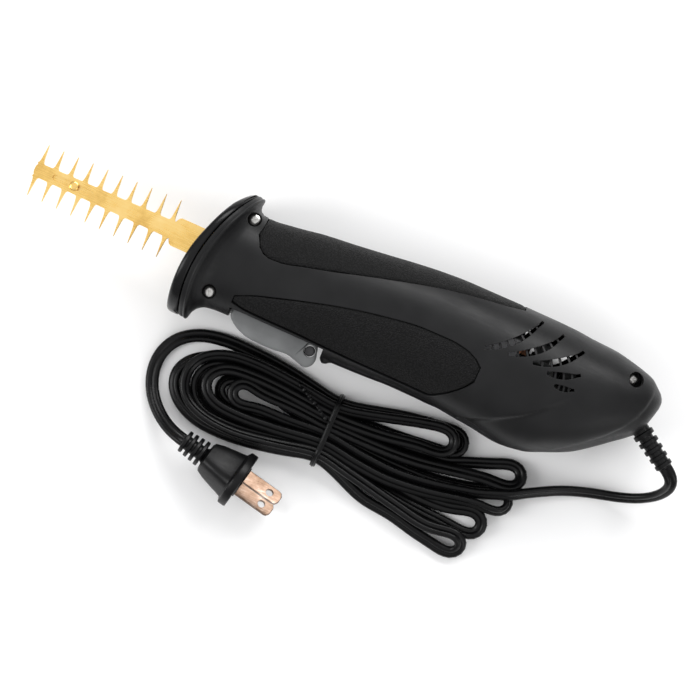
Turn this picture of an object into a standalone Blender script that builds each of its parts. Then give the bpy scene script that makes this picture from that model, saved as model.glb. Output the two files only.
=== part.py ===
"""Electric uncapping knife: two reciprocating toothed blades driven from a hand-held mains body.

All lengths below are millimetres in the tool's own frame: X runs from the blade's tip to the
rear of the handle with 0 at the finger guard, Y is the tool's height with 0 on the blade's
centre line, and Z is height above the table that the tool lies on, right side down.
world() turns them into metres about the reference point, the middle of the tool's footprint.
"""
import math

import bmesh
import bpy
from mathutils import Matrix, Vector

MM = 0.001
GAP = 0.3                    # clearance between neighbouring solids
HALF_GAP = GAP / 2
PART_Z = 26.0                # height of the plane where the two shells meet
ORIGIN_X = 63.25             # reference point, in the tool's frame
ORIGIN_Y = -0.1

# Body: base x, top y, bottom y, half depth, share of the guard's rake
BODY_SECTIONS = (
    (5.7, 26.8, -30.0, 26.0, 1.0), (8.2, 26.4, -30.4, 26.0, 1.0), (10.0, 23.6, -27.3, 24.2, 0.98),
    (12.2, 21.6, -24.7, 22.4, 0.94), (15.5, 20.5, -22.9, 21.2, 0.86), (21.0, 20.3, -22.3, 20.5, 0.7),
    (28.0, 21.0, -22.2, 20.4, 0.5), (36.0, 22.0, -22.2, 20.6, 0.3), (48.0, 23.6, -22.2, 21.1, 0.0),
    (60.0, 24.9, -22.1, 21.6, 0.0), (72.0, 26.4, -21.7, 22.2, 0.0), (84.0, 28.0, -21.3, 22.9, 0.0),
    (96.0, 29.3, -20.7, 23.6, 0.0), (108.0, 30.0, -20.8, 24.3, 0.0), (120.0, 30.1, -22.1, 25.0, 0.0),
    (132.0, 30.2, -23.3, 25.7, 0.0), (144.0, 30.2, -24.7, 26.0, 0.0), (154.0, 30.0, -23.6, 25.9, 0.0),
    (163.0, 29.3, -20.2, 25.3, 0.0), (172.0, 28.9, -16.0, 23.9, 0.0), (180.0, 27.6, -10.2, 21.9, 0.0),
    (186.0, 26.2, -5.2, 19.8, 0.0), (190.5, 24.8, -1.5, 17.4, 0.0), (194.0, 22.2, 2.2, 14.6, 0.0),
    (196.3, 20.2, 8.0, 11.2, 0.0), (197.5, 18.6, 12.4, 7.6, 0.0),
)
SECTION_POWER = 2.5          # squareness of the body's cross-section
WALL = 3.0
CAVITY_TAPER = 170.0         # base x where the cavity starts to close ahead of the rear wall
CAVITY_REAR = 192.0
SHELL_ARC = 12
GUARD_DEPTH = 26.0
GUARD_SIDES = 32

# Grips: x, lower y (None means up to the parting plane)
UPPER_GRIP = (
    (23.6, 12.5), (25.5, 8.2), (30.5, 5.5), (36.0, 5.8), (44.0, 7.9), (56.0, 11.1), (68.0, 14.7),
    (84.0, 19.2), (100.0, 23.2), (114.0, 25.6), (126.0, 27.4), (132.0, 28.7),
)
LOWER_GRIP = (
    (24.5, -14.2, -16.4), (30.0, -11.5, -17.4), (40.0, -8.2, -17.6), (50.0, -5.1, -17.6),
    (66.0, -0.7, -18.0), (82.0, 2.6, -18.2), (99.0, 4.8, -18.2), (110.0, 4.9, -18.3),
    (114.0, 4.5, -16.4), (118.5, 3.5, -13.2), (122.0, 1.9, -9.8), (124.4, -0.4, -6.0),
)
GRIP_DEPTH = 1.3
GRIP_STRIPS = 6
RECESS_EDGE = 0.45
RECESS_CLEARANCE = 0.5       # under the grips, more than their facets can bow inwards

# Blades
BLADE_TIP = -71.0
TOOTH_COUNT = 10
TOOTH_PITCH = 6.4
FIRST_TOOTH = -69.4
BLADE_THICK = 1.0
TANG_END = 38.0
SHANK_HALF = 6.0
TANG_HALF = 4.4
TANG_PIN_X = 33.0
SLOT_FRONT = -63.0
SLOT_REAR = -45.0
SLOT_HALF = 1.2
RIVET_X = -53.5
RIVET_SHANK = 0.9
RIVET_HEAD = 1.95

# Screws: x, y, height of the head's seat above the parting plane, counterbore radius
SCREWS = {
    "front_upper_screw": (19.0, 17.1, 9.0, 2.9),
    "front_lower_screw": (14.3, -16.4, 12.0, 2.9),
    "rear_screw": (183.4, 21.1, 4.0, 3.1),
}
SCREW_SHANK = 1.4
SCREW_HEAD = 2.3
BOSS_WALL = 1.1
SCREW_TIP = -9.0

# Trigger and switch
TRIGGER_PIVOT = (28.0, -16.0)
TRIGGER_HALF = 9.0
LOCK_CENTRE = (60.3, -21.8)
LOCK_RADIUS = 2.1
LOCK_SOCKET = (57.6, 63.4, -20.0, -16.4, -12.0, -9.0)   # where the pushed lock holds a pulled trigger
NOTCH_FRONT = 24.3
NOTCH_REAR = 65.0
NOTCH_TOP = -18.9
SWITCH_BOX = (45.0, 61.0, -10.0, 0.0, -3.1, 3.1)
PLUNGER_X = 53.0
PLUNGER_RADIUS = 1.2
SPRING_X = 48.6

# Motor and drive
MOTOR_Y = 5.0
SHAFT_RADIUS = 2.5
STACK = (112.0, 136.0)
GEAR_CENTRE = (78.0, -7.0)
GEAR_TEETH = 24
GEAR_TIP = 8.5
GEAR_HALF = 3.0
AXLE_RADIUS = 1.5
ECCENTRIC = 3.0
CRANK_RADIUS = 1.1
WORM = (70.0, 86.0)
WORM_TIP = 3.15

# Strain relief: where its axis leaves the rear face, and its direction in the XY plane
RELIEF_EXIT = (195.3, 3.8)
RELIEF_ANGLE = math.radians(-33.0)
RELIEF_LENGTH = 18.0
RELIEF_INSIDE = 6.0

# Cord
CORD_RADIUS = 2.75
CORD_LIE = 2.9               # height of the cord's axis where it lies on the table
CORD_STEP = 7.0
CORD_TAIL_ROUTE = (
    (210.9, -6.3, 26.0), (213.4, -7.9, 25.9), (215.2, -11.0, 23.6), (214.0, -16.2, 17.6),
    (208.5, -21.2, 11.0), (200.0, -25.2, 6.2), (190.0, -28.6, 4.2), (178.0, -32.8, 3.6),
    (165.6, -38.6, 4.2),
)
PLUG_LEAD_ROUTE = (
    (65.6, -34.4, 3.2), (54.0, -32.9, CORD_LIE), (40.0, -32.2, CORD_LIE), (26.0, -32.3, CORD_LIE),
    (15.5, -34.8, CORD_LIE), (8.2, -40.0, CORD_LIE), (4.6, -47.0, CORD_LIE), (4.3, -55.0, CORD_LIE),
    (7.6, -63.5, 3.4), (13.6, -70.0, 5.2), (20.6, -74.2, 8.0), (26.6, -75.9, 10.6),
)
HANK_OUTLINE = (
    (11.0, -52.0), (13.0, -44.5), (20.0, -39.0), (32.0, -37.4), (50.0, -37.4), (66.0, -38.0),
    (66.0, -31.8), (80.0, -33.6), (100.0, -32.4), (116.0, -31.0), (128.0, -29.8), (146.0, -30.2),
    (157.0, -30.6), (162.8, -33.4), (164.8, -38.6), (163.6, -46.0), (161.0, -58.0), (156.5, -65.5),
    (148.0, -71.5), (134.0, -74.2), (119.0, -74.0), (103.0, -70.2), (90.0, -66.2), (80.0, -64.4),
    (62.0, -65.8), (48.0, -68.6), (38.0, -69.0), (25.0, -66.0), (15.5, -60.0),
)
HANK_BOTTOM = 1.1
HANK_TOP = 13.0
TIE_X = (78.4, 81.6)
TIE_Y = (-65.0, -32.6)
TIE_THICK = 0.8

# Vents in each shell: start, middle and end of a crescent's spine, and its width
VENT_SPINES = (
    ((123.0, 8.0), (133.0, 15.4), (140.4, 27.0), 2.6),
    ((132.6, 9.4), (143.2, 16.0), (150.0, 25.4), 2.8),
    ((142.6, 10.2), (152.5, 15.0), (159.8, 22.6), 3.0),
    ((149.4, 9.0), (156.0, 10.4), (162.0, 13.4), 2.8),
    ((154.0, 5.6), (158.0, 5.8), (162.0, 7.0), 2.4),
)
VENT_STEPS = 5

# Drivers: each is a nose over a blade's tang, a bar, and a yoke round a crank pin.
# Levels are distances from the mid plane.
DRIVER_LEVELS = (3.7, 5.7)
DRIVER_BAR_START = 40.2
DRIVER_BAR_Y = (-8.0, -2.0)
NOSE_X = (25.0, 41.4)
NOSE_Y = (-8.4, 5.0)
NOSE_NEAR = 1.5
YOKE_HALF = (9.6, 6.9)
WINDOW_HALF = (7.4, 4.7)
STUD_RADIUS = 1.2
STUD_LEVELS = (0.3, 4.0)

# Motor and gearbox, along X unless said otherwise
JOURNAL_RADIUS = 1.6          # the shaft inside the worm
SHAFT_STEP = 88.0
SHAFT_END = 164.0
ARMATURE_RADIUS = 9.3
COMMUTATOR_X = (98.0, 106.0)
COMMUTATOR_RADIUS = 6.0
BEARING_RADIUS = 6.0
FRONT_BEARING_X = (89.4, 93.8)
REAR_BEARING_X = (156.2, 160.6)
FAN_X = (143.0, 150.0)
BRUSH_X = (100.2, 103.8)
BRUSH_REACH = (6.4, 13.0)     # from the motor's axis
BRUSH_HALF = 2.4
HOLDER_X = (98.9, 105.1)
HOLDER_REACH = (7.2, 14.2)
HOLDER_HALF = 3.7
TUNNEL_X = (99.9, 104.1)
TUNNEL_REACH = (5.0, 13.3)
TUNNEL_HALF = 2.7
CRANK_LEVELS = (2.0, 6.3)
AXLE_HALF = 10.6
FRAME_X = (67.0, 94.2)
FRAME_Y = (-14.6, 12.6)
FRAME_LEVELS = (8.6, 10.8)
BULKHEAD_FRONT = 91.2
BULKHEAD_LOW = -3.0
BULKHEAD_HALF = 9.6
BRACKET_X = (156.0, 160.8)
BRACKET_HALF = (8.0, 19.5)
CAPACITOR = (165.5, 177.0, 6.0, 18.0)
CAPACITOR_HALF = 4.0
CLEARANCE = 3.0               # how far a cutter reaches past what it cuts

# Plug: the flange's centre, heading in the XY plane and roll about its own axis
PLUG_FLANGE = (56.6, -82.0, 12.7)
PLUG_HEADING = math.radians(-11.5)
PLUG_ROLL = math.radians(60.0)
PLUG_BOOT_START = -29.5
PLUG_LAND = (-1.0, 0.5, -4.8, 4.8, -5.2, 5.2)    # raised flat between the prongs
PLUG_STATIONS = (             # along the plug, half width, half thickness, squareness
    (PLUG_BOOT_START, 4.4, 4.1, 0.85), (-18.4, 5.2, 4.9, 0.85), (-17.4, 6.0, 6.0, 0.6),
    (-14.0, 6.9, 7.0, 0.52), (-10.0, 7.6, 7.8, 0.5), (-4.3, 8.9, 9.1, 0.56),
    (-3.5, 11.9, 11.7, 0.92), (-3.0, 12.3, 12.1, 0.96), (-0.4, 12.3, 12.1, 0.96),
    (0.0, 11.9, 11.7, 0.96),
)
PLUG_SIDES = 20
PRONG_SPACING = 12.7
PRONG = (17.0, 6.35, 1.5)

MATERIALS = {
    "black_plastic": ((0.012, 0.012, 0.013), 0.42, 0.0),
    "guard_plastic": ((0.008, 0.008, 0.009), 0.25, 0.0),
    "grip_rubber": ((0.010, 0.010, 0.010), 0.75, 0.0),
    "grey_plastic": ((0.24, 0.25, 0.25), 0.45, 0.0),
    "gold_steel": ((0.95, 0.68, 0.22), 0.28, 1.0),
    "steel": ((0.55, 0.55, 0.56), 0.3, 1.0),
    "copper": ((0.72, 0.34, 0.16), 0.35, 1.0),
    "brass": ((0.75, 0.56, 0.25), 0.32, 1.0),
    "white_plastic": ((0.72, 0.71, 0.66), 0.5, 0.0),
    "carbon": ((0.03, 0.03, 0.03), 0.7, 0.0),
    "cord_rubber": ((0.008, 0.008, 0.008), 0.5, 0.0),
}


# ---------------------------------------------------------------- helpers

def world(point):
    return Vector(((point[0] - ORIGIN_X) * MM, (point[1] - ORIGIN_Y) * MM, point[2] * MM))


def material(name):
    found = bpy.data.materials.get(name)
    if found:
        return found
    colour, roughness, metallic = MATERIALS[name]
    made = bpy.data.materials.new(name)
    made.use_nodes = True
    shader = made.node_tree.nodes["Principled BSDF"]
    shader.inputs["Base Color"].default_value = (*colour, 1.0)
    shader.inputs["Roughness"].default_value = roughness
    shader.inputs["Metallic"].default_value = metallic
    return made


def make(name, shape, finish, pivot=(0.0, 0.0, 0.0), parent=None):
    """Turn (points, faces) in tool millimetres into an object whose origin is on the pivot."""
    points, faces = shape
    base = world(pivot)
    mesh = bpy.data.meshes.new(name)
    mesh.from_pydata([world(p) - base for p in points], [], faces)
    work = bmesh.new()
    work.from_mesh(mesh)
    bmesh.ops.recalc_face_normals(work, faces=work.faces)
    work.to_mesh(mesh)
    work.free()
    mesh.shade_smooth()
    mesh.set_sharp_from_angle(angle=math.radians(32))
    obj = bpy.data.objects.new(name, mesh)
    bpy.context.scene.collection.objects.link(obj)
    obj.location = base
    mesh.materials.append(material(finish))
    if parent:
        obj.parent = parent
        obj.matrix_parent_inverse = Matrix.Translation(parent.location).inverted()
    return obj


def guide(name, shape):
    """A closed shape used only as the second operand of a Boolean."""
    obj = make(name, shape, "steel")
    obj.hide_render = True
    obj.display_type = "WIRE"
    return obj


def boolean(obj, operand, operation="DIFFERENCE", solver="EXACT"):
    step = obj.modifiers.new(operand.name, "BOOLEAN")
    step.operation = operation
    step.solver = solver
    step.object = operand
    return obj


def join(*shapes):
    """Several closed shapes as one list of points and faces."""
    points = []
    faces = []
    for more_points, more_faces in shapes:
        start = len(points)
        points.extend(more_points)
        faces.extend([tuple(start + i for i in face) for face in more_faces])
    return points, faces


def prism(outline, low, high):
    """An XY outline extruded along Z."""
    count = len(outline)
    points = [(x, y, low) for x, y in outline] + [(x, y, high) for x, y in outline]
    faces = [tuple(range(count)), tuple(range(count, 2 * count))]
    for i in range(count):
        j = (i + 1) % count
        faces.append((i, j, j + count, i + count))
    return points, faces


def block(x0, x1, y0, y1, z0, z1):
    return prism(((x0, y0), (x1, y0), (x1, y1), (x0, y1)), z0, z1)


def rings(loops, closed=False):
    """Skin equal loops of points; the ends are capped, or joined to each other when closed."""
    count = len(loops[0])
    points = [p for loop in loops for p in loop]
    faces = []
    spans = len(loops) if closed else len(loops) - 1
    for k in range(spans):
        a = k * count
        b = ((k + 1) % len(loops)) * count
        for i in range(count):
            j = (i + 1) % count
            faces.append((a + i, a + j, b + j, b + i))
    if not closed:
        faces.append(tuple(range(count)))
        last = (len(loops) - 1) * count
        faces.append(tuple(range(last, last + count)))
    return points, faces


def circle(radius, count):
    return [(radius * math.cos(math.tau * i / count), radius * math.sin(math.tau * i / count))
            for i in range(count)]


def turned(profile, centre, axis, count=20, ring=False):
    """A profile of (distance along the axis, radius) turned about an axis through centre."""
    loops = []
    for along, radius in profile:
        loop = []
        for u, v in circle(radius, count):
            if axis == "x":
                loop.append((centre[0] + along, centre[1] + u, centre[2] + v))
            elif axis == "y":
                loop.append((centre[0] + u, centre[1] + along, centre[2] + v))
            else:
                loop.append((centre[0] + u, centre[1] + v, centre[2] + along))
        loops.append(loop)
    return rings(loops, closed=ring)


def rod(radius, low, high, centre, axis, count=16):
    return turned(((low, radius), (high, radius)), centre, axis, count)


def bush(inner, outer, low, high, centre, axis, count=20):
    return turned(((low, inner), (low, outer), (high, outer), (high, inner)), centre, axis,
                  count, ring=True)


def turn_shape(shape, matrix):
    """A shape moved by a 4x4 matrix, in millimetres."""
    points, faces = shape
    return [tuple(matrix @ Vector(p)) for p in points], faces


def smooth_route(route, step):
    """Points about one step apart on a Catmull-Rom curve through the route."""
    knots = [Vector(p) for p in route]
    knots = [2 * knots[0] - knots[1]] + knots + [2 * knots[-1] - knots[-2]]
    result = []
    for k in range(1, len(knots) - 2):
        before, start, end, after = knots[k - 1:k + 3]
        parts = max(1, round((end - start).length / step))
        for i in range(parts):
            t = i / parts
            bend = (2 * before - 5 * start + 4 * end - after) * t * t
            twist = (3 * start - before - 3 * end + after) * t ** 3
            result.append((2 * start + (end - before) * t + bend + twist) / 2)
    result.append(knots[-2])
    return result


# ---------------------------------------------------------------- body surface

def seam(y):
    """X of the seam between guard and body at height y: raked back towards the top."""
    return 5.4 + 0.205 * y + 0.0077 * y * y


def section(x):
    """Top, bottom, half depth and rake share of the body at base x."""
    table = BODY_SECTIONS
    if x <= table[0][0]:
        return table[0][1:]
    for low, high in zip(table, table[1:]):
        if x <= high[0]:
            t = (x - low[0]) / (high[0] - low[0])
            return tuple(a + (b - a) * t for a, b in zip(low[1:], high[1:]))
    return table[-1][1:]


def power(value, exponent):
    return math.copysign(abs(value) ** exponent, value)


def body_point(x, angle, inset, side):
    """A point on the body's surface: angle 0 is the top edge and pi the bottom edge."""
    top, bottom, depth, rake = section(x)
    middle = (top + bottom) / 2
    y = middle + ((top - bottom) / 2 - inset) * power(math.cos(angle), 2 / SECTION_POWER)
    z = (depth - HALF_GAP - inset) * power(math.sin(angle), 2 / SECTION_POWER)
    return x + rake * (seam(y) - seam(0)), y, PART_Z + side * (HALF_GAP + max(0.0, z))


def base_x(x, y):
    """The base x whose raked section passes through (x, y)."""
    guess = x
    for _ in range(6):
        guess = x - section(guess)[3] * (seam(y) - seam(0))
    return guess


def angle_at(x, y):
    top, bottom = section(x)[:2]
    share = (y - (top + bottom) / 2) / ((top - bottom) / 2)
    share = max(-1.0, min(1.0, share))
    return math.acos(power(share, SECTION_POWER / 2))


def half_body(side):
    """The solid outer form of one half, flat on the parting plane."""
    angles = [math.pi * i / SHELL_ARC for i in range(SHELL_ARC + 1)]
    return rings([[body_point(row[0], a, 0.0, side) for a in angles] for row in BODY_SECTIONS])


def half_cavity(side):
    """The hollow of one half: open at the front and past the parting plane, closed at the rear."""
    angles = [math.pi * i / SHELL_ARC for i in range(SHELL_ARC + 1)]
    rear = BODY_SECTIONS[-1][0]
    shrink = (CAVITY_REAR - CAVITY_TAPER) / (rear - CAVITY_TAPER)
    loops = []
    for row in BODY_SECTIONS:
        x = row[0] if row[0] < CAVITY_TAPER else CAVITY_TAPER + (row[0] - CAVITY_TAPER) * shrink
        if row is BODY_SECTIONS[0]:
            x -= 2.0
        loop = [body_point(x, a, WALL, side) for a in angles]
        top = (loop[0][0], loop[0][1], PART_Z - side)
        bottom = (loop[-1][0], loop[-1][1], PART_Z - side)
        loops.append([top] + loop + [bottom])
    return rings(loops)


def grip_patch(rows, side, under, over, edge):
    """A patch of the body's surface between two lines, with a depth below and above it."""
    lower = []
    upper = []
    wraps = len(rows[0]) == 2
    for k, row in enumerate(rows):
        x = row[0]
        if k == 0:
            x -= edge
        if k == len(rows) - 1:
            x += edge
        low = row[-1] - edge
        bx_low = base_x(x, low)
        if wraps:
            start = 0.0
            bx_high = base_x(x, section(x)[0])
        else:
            high = row[1] + edge
            bx_high = base_x(x, high)
            start = angle_at(bx_high, high)
        end = angle_at(bx_low, low)
        for skin, inset in ((lower, under), (upper, -over)):
            line = []
            for i in range(GRIP_STRIPS + 1):
                t = i / GRIP_STRIPS
                bx = bx_high + (bx_low - bx_high) * t
                line.append(body_point(bx, start + (end - start) * t, inset, side))
            if wraps and edge:
                px, py, _ = line[0]
                line.insert(0, (px, py, PART_Z - side))
            skin.append(line)
    return rings([up + list(reversed(low)) for up, low in zip(upper, lower)])


def guard_shape():
    """The raked finger guard: a thick oval rim with a dished front face and a blade slot."""
    profile = (
        # share of the way from the slot to the rim, x from front, x from seam
        (0.0, 3.4, None), (0.55, 2.6, None), (0.86, 0.9, None), (0.93, 0.0, None), (0.985, 0.5, None),
        (1.0, 2.0, None), (1.0, None, -1.2), (0.975, None, 0.0), (0.88, None, 0.0), (0.84, None, -1.6),
        (0.0, None, -0.4),
    )
    loops = []
    for share, from_front, from_seam in profile:
        loop = []
        for i in range(GUARD_SIDES):
            angle = math.tau * i / GUARD_SIDES
            slot_y = 8.6 * power(math.cos(angle), 0.7)
            slot_z = 3.2 * power(math.sin(angle), 0.7)
            rim_y = -1.75 + 28.45 * power(math.cos(angle), 0.86)
            rim_z = GUARD_DEPTH * power(math.sin(angle), 0.86)
            y = slot_y + (rim_y - slot_y) * share
            z = slot_z + (rim_z - slot_z) * share
            rear = seam(y)
            thick = 5.6 - 0.06 * y - 0.0025 * y * y
            thick = max(min(thick, 3.4), thick - 2.0 * (z / GUARD_DEPTH) ** 2)
            x = rear + from_seam if from_front is None else rear - thick + from_front
            loop.append((x, y, PART_Z + z))
        loops.append(loop)
    return rings(loops, closed=True)


# ---------------------------------------------------------------- blades

def blade_outline():
    """Needle teeth in pairs on a narrow spine, then a wider shank and tang."""
    upper = [(BLADE_TIP, 0.9), (BLADE_TIP + 0.5, 2.2)]
    for k in range(TOOTH_COUNT):
        x = FIRST_TOOTH + TOOTH_PITCH * k
        share = k / (TOOTH_COUNT - 1)
        root = 2.95 + 0.6 * share
        tip = 11.0 + 1.5 * share
        knee = root + 0.24 * (tip - root)
        upper.extend(((x - 1.2, root), (x - 0.62, knee), (x - 0.12, tip)))
        upper.extend(((x + 0.12, tip), (x + 0.62, knee), (x + 1.3, root)))
    upper.extend(((-9.4, SHANK_HALF - 0.8), (-8.4, SHANK_HALF), (22.0, SHANK_HALF)))
    upper.extend(((24.5, TANG_HALF), (TANG_END - 1.5, TANG_HALF), (TANG_END, TANG_HALF - 1.5)))
    return upper + [(x, -y) for x, y in reversed(upper)]


def slot_outline():
    front = SLOT_FRONT + SLOT_HALF
    rear = SLOT_REAR - SLOT_HALF
    turns = [math.pi * i / 6 for i in range(7)]
    head = [(front - SLOT_HALF * math.sin(a), SLOT_HALF * math.cos(a)) for a in turns]
    tail = [(rear + SLOT_HALF * math.sin(a), -SLOT_HALF * math.cos(a)) for a in turns]
    return head + tail


def levels(side, near_far):
    """Two distances from the mid plane on one side, as a low and a high Z."""
    return sorted(PART_Z + side * level for level in near_far)


def driver_shape(side):
    """A reciprocating bar: nose over the blade's tang, bar, and yoke round the crank pin."""
    gx, gy = GEAR_CENTRE
    long, tall = YOKE_HALF
    low, high = levels(side, DRIVER_LEVELS)
    bar_low, bar_high = DRIVER_BAR_Y
    outline = (
        (DRIVER_BAR_START, bar_low), (gx - long, bar_low), (gx - long, gy - tall),
        (gx + long, gy - tall), (gx + long, gy + tall), (gx - long, gy + tall),
        (gx - long, bar_high), (DRIVER_BAR_START, bar_high),
    )
    bar = prism(outline, low, high)
    nose = block(*NOSE_X, *NOSE_Y, *levels(side, (NOSE_NEAR, DRIVER_LEVELS[1])))
    stud_low, stud_high = levels(side, STUD_LEVELS)
    stud = rod(STUD_RADIUS, stud_low - PART_Z, stud_high - PART_Z, (TANG_PIN_X, 0.0, PART_Z), "z",
               12)
    long, tall = WINDOW_HALF
    window = block(gx - long, gx + long, gy - tall, gy + tall, low - CLEARANCE, high + CLEARANCE)
    return bar, nose, stud, window


# ---------------------------------------------------------------- drive

def gear_outline():
    gx, gy = GEAR_CENTRE
    outline = []
    for k in range(GEAR_TEETH):
        for share, radius in ((-0.3, GEAR_TIP - 1.4), (-0.14, GEAR_TIP), (0.14, GEAR_TIP),
                              (0.3, GEAR_TIP - 1.4)):
            angle = math.tau * (k + share) / GEAR_TEETH
            outline.append((gx + radius * math.cos(angle), gy + radius * math.sin(angle)))
    return outline


def worm_shape():
    """A single-start thread on a bored sleeve; its lead is the gear's tooth pitch."""
    lead = math.tau * (GEAR_TIP - 0.7) / GEAR_TEETH
    turns = (WORM[1] - WORM[0]) / lead
    stations = int(turns * 5)
    sides = 8
    loops = []
    start = (WORM[0], MOTOR_Y, PART_Z)
    for k in range(stations + 1):
        along = (WORM[1] - WORM[0]) * k / stations
        loop = []
        for i in range(sides):
            angle = math.tau * i / sides
            wave = math.cos(math.tau * along / lead - angle)
            radius = WORM_TIP - 0.32 + 0.32 * wave
            loop.append((start[0] + along, start[1] + radius * math.cos(angle),
                         start[2] + radius * math.sin(angle)))
        loops.append(loop)
    return rings(loops)


def fan_outline(blades=9):
    outline = []
    for k in range(blades):
        middle = math.tau * k / blades
        for radius, half, lean in ((5.4, 0.26, 0.0), (16.5, 0.05, 0.42), (16.5, -0.05, 0.42),
                                   (5.4, -0.08, 0.0)):
            angle = middle + lean - half
            outline.append((radius * math.cos(angle), radius * math.sin(angle)))
    return outline


def stator_shape():
    """Laminated two-pole stack, its window open from end to end."""
    turns = [math.acos(7.6 / 9.8) + (math.pi - 2 * math.acos(7.6 / 9.8)) * i / 6 for i in range(7)]
    pole = [(9.8 * math.cos(a), 9.8 * math.sin(a)) for a in turns]
    inner = [(12.4, -13.2), (12.4, 13.2), (7.6, 13.2)] + pole + [(-7.6, 13.2), (-12.4, 13.2)]
    inner += [(-12.4, -13.2), (-7.6, -13.2)] + [(-u, -v) for u, v in pole] + [(7.6, -13.2)]
    outer = [(16.0, -11.5), (16.0, 11.5), (11.0, 16.5), (-11.0, 16.5), (-16.0, 11.5),
             (-16.0, -11.5), (-11.0, -16.5), (11.0, -16.5)]
    x0, x1 = STACK
    solid = along_x(outer, x0, x1)
    hole = along_x(inner, x0 - 2, x1 + 2)
    return solid, hole


def along_x(outline, x0, x1):
    """A (Z, Y) outline about the motor's axis extruded along X."""
    return rings([[(x, MOTOR_Y + v, PART_Z + u) for u, v in outline] for x in (x0, x1)])


def coil_shape(side):
    """A field coil: a rounded rectangular winding round one pole."""
    middle = (STACK[0] + STACK[1]) / 2
    half = (STACK[1] - STACK[0]) / 2
    loops = []
    for y in (6.9, 12.9):
        outer = []
        inner = []
        for corner in range(4):
            for i in range(3):
                a = math.pi / 2 * (corner + i / 2)
                sx = 1 if corner in (0, 3) else -1
                sz = 1 if corner in (0, 1) else -1
                outer.append((middle + sx * (half + 1.3) + 3.4 * math.cos(a),
                              sz * 8.6 + 3.4 * math.sin(a), y))
                inner.append((middle + sx * (half - 0.1) + 0.6 * math.cos(a),
                              sz * 7.4 + 0.6 * math.sin(a), y))
        loops.append((outer, inner))
    order = (loops[0][0], loops[1][0], loops[1][1], loops[0][1])
    return rings([[(x, MOTOR_Y + side * y, PART_Z + z) for x, z, y in loop] for loop in order],
                 closed=True)


def spring_shape(centre, low, high, coil, wire, turns):
    """A round-wire compression spring along Y with flat-cut ends."""
    count = int(turns * 8)
    loops = []
    for k in range(count + 1):
        a = math.tau * turns * k / count
        along = low + wire + (high - low - 2 * wire) * k / count
        out = Vector((math.cos(a), 0.0, math.sin(a)))
        spot = Vector(centre) + coil * out + Vector((0.0, along, 0.0))
        loop = []
        for u, v in circle(wire, 4):
            loop.append(tuple(spot + out * u + Vector((0.0, v, 0.0))))
        loops.append(loop)
    return rings(loops)


# ---------------------------------------------------------------- cord and plug

def relief_matrix():
    turn = Matrix.Rotation(RELIEF_ANGLE, 4, "Z")
    return Matrix.Translation((RELIEF_EXIT[0], RELIEF_EXIT[1], PART_Z)) @ turn


def relief_shape():
    """A tapered sleeve with four pairs of ribs along its outer part."""
    profile = [(-RELIEF_INSIDE, 3.6), (0.8, 3.6), (0.8, 4.4), (3.0, 4.4)]
    for k in range(4):
        start = 3.6 + 3.6 * k
        radius = 4.2 - 0.18 * k
        profile.extend(((start, 3.0), (start + 1.0, 3.0), (start + 1.2, radius),
                        (start + 2.8, radius), (start + 3.0, 3.0)))
    profile.append((RELIEF_LENGTH, 3.0))
    return turn_shape(turned(profile, (0.0, 0.0, 0.0), "x", 10), relief_matrix())


def plug_matrix():
    turn = Matrix.Rotation(PLUG_HEADING, 4, "Z") @ Matrix.Rotation(PLUG_ROLL, 4, "X")
    return Matrix.Translation(PLUG_FLANGE) @ turn


def plug_shape():
    """Boot, squared grip and round flange, as ovals along the plug's own X."""
    loops = []
    for x, wide, thick, square in PLUG_STATIONS:
        loop = []
        for i in range(PLUG_SIDES):
            a = math.tau * i / PLUG_SIDES
            loop.append((x, wide * power(math.cos(a), square), thick * power(math.sin(a), square)))
        loops.append(loop)
    return turn_shape(rings(loops), plug_matrix())


def prong_shape(side):
    length, width, thick = PRONG
    half = width / 2
    tip = length - 1.5
    outline = ((GAP, -half), (tip, -half), (length, -half + 1.4), (length, half - 1.4),
               (tip, half), (GAP, half))
    y = side * PRONG_SPACING / 2
    points = []
    for v in (y - thick / 2, y + thick / 2):
        points.extend([(x, v, w) for x, w in outline])
    count = len(outline)
    faces = [tuple(range(count)), tuple(range(count, 2 * count))]
    for i in range(count):
        j = (i + 1) % count
        faces.append((i, j, j + count, i + count))
    eye = rod(1.6, y - 3, y + 3, (length - 5.2, 0.0, 0.0), "y", 12)
    return turn_shape((points, faces), plug_matrix()), turn_shape(eye, plug_matrix())


def cord_tube(name, route, fill):
    curve = bpy.data.curves.new(name, "CURVE")
    curve.dimensions = "3D"
    curve.bevel_depth = CORD_RADIUS * MM
    curve.bevel_resolution = 2
    curve.use_fill_caps = True
    line = curve.splines.new("POLY")
    spots = [world(p) for p in smooth_route(route, CORD_STEP)]
    line.points.add(len(spots) - 1)
    for point, spot in zip(line.points, spots):
        point.co = (*spot, 1.0)
    curve.materials.append(material(fill))
    obj = bpy.data.objects.new(name, curve)
    bpy.context.scene.collection.objects.link(obj)
    return obj


# ---------------------------------------------------------------- assemblies

def vent_outlines():
    """Five crescents, each round a curved spine from its start through a middle to its end."""
    outlines = []
    for start, middle, end, width in VENT_SPINES:
        control = [2 * m - (a + b) / 2 for a, m, b in zip(start, middle, end)]
        spine = []
        for i in range(VENT_STEPS + 1):
            t = i / VENT_STEPS
            spine.append(Vector([(1 - t) ** 2 * a + 2 * t * (1 - t) * c + t * t * b
                                 for a, c, b in zip(start, control, end)]))
        left = []
        right = []
        for i, spot in enumerate(spine):
            ahead = spine[min(i + 1, VENT_STEPS)] - spine[max(i - 1, 0)]
            across = Vector((-ahead.y, ahead.x)).normalized()
            swell = math.sin(math.pi * min(1.0, 0.12 + i / VENT_STEPS) * 0.9)
            half = width / 2 * (0.2 + 0.8 * swell)
            left.append(tuple(spot + across * half))
            right.append(tuple(spot - across * half))
        outlines.append(left + list(reversed(right)))
    return outlines


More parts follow.
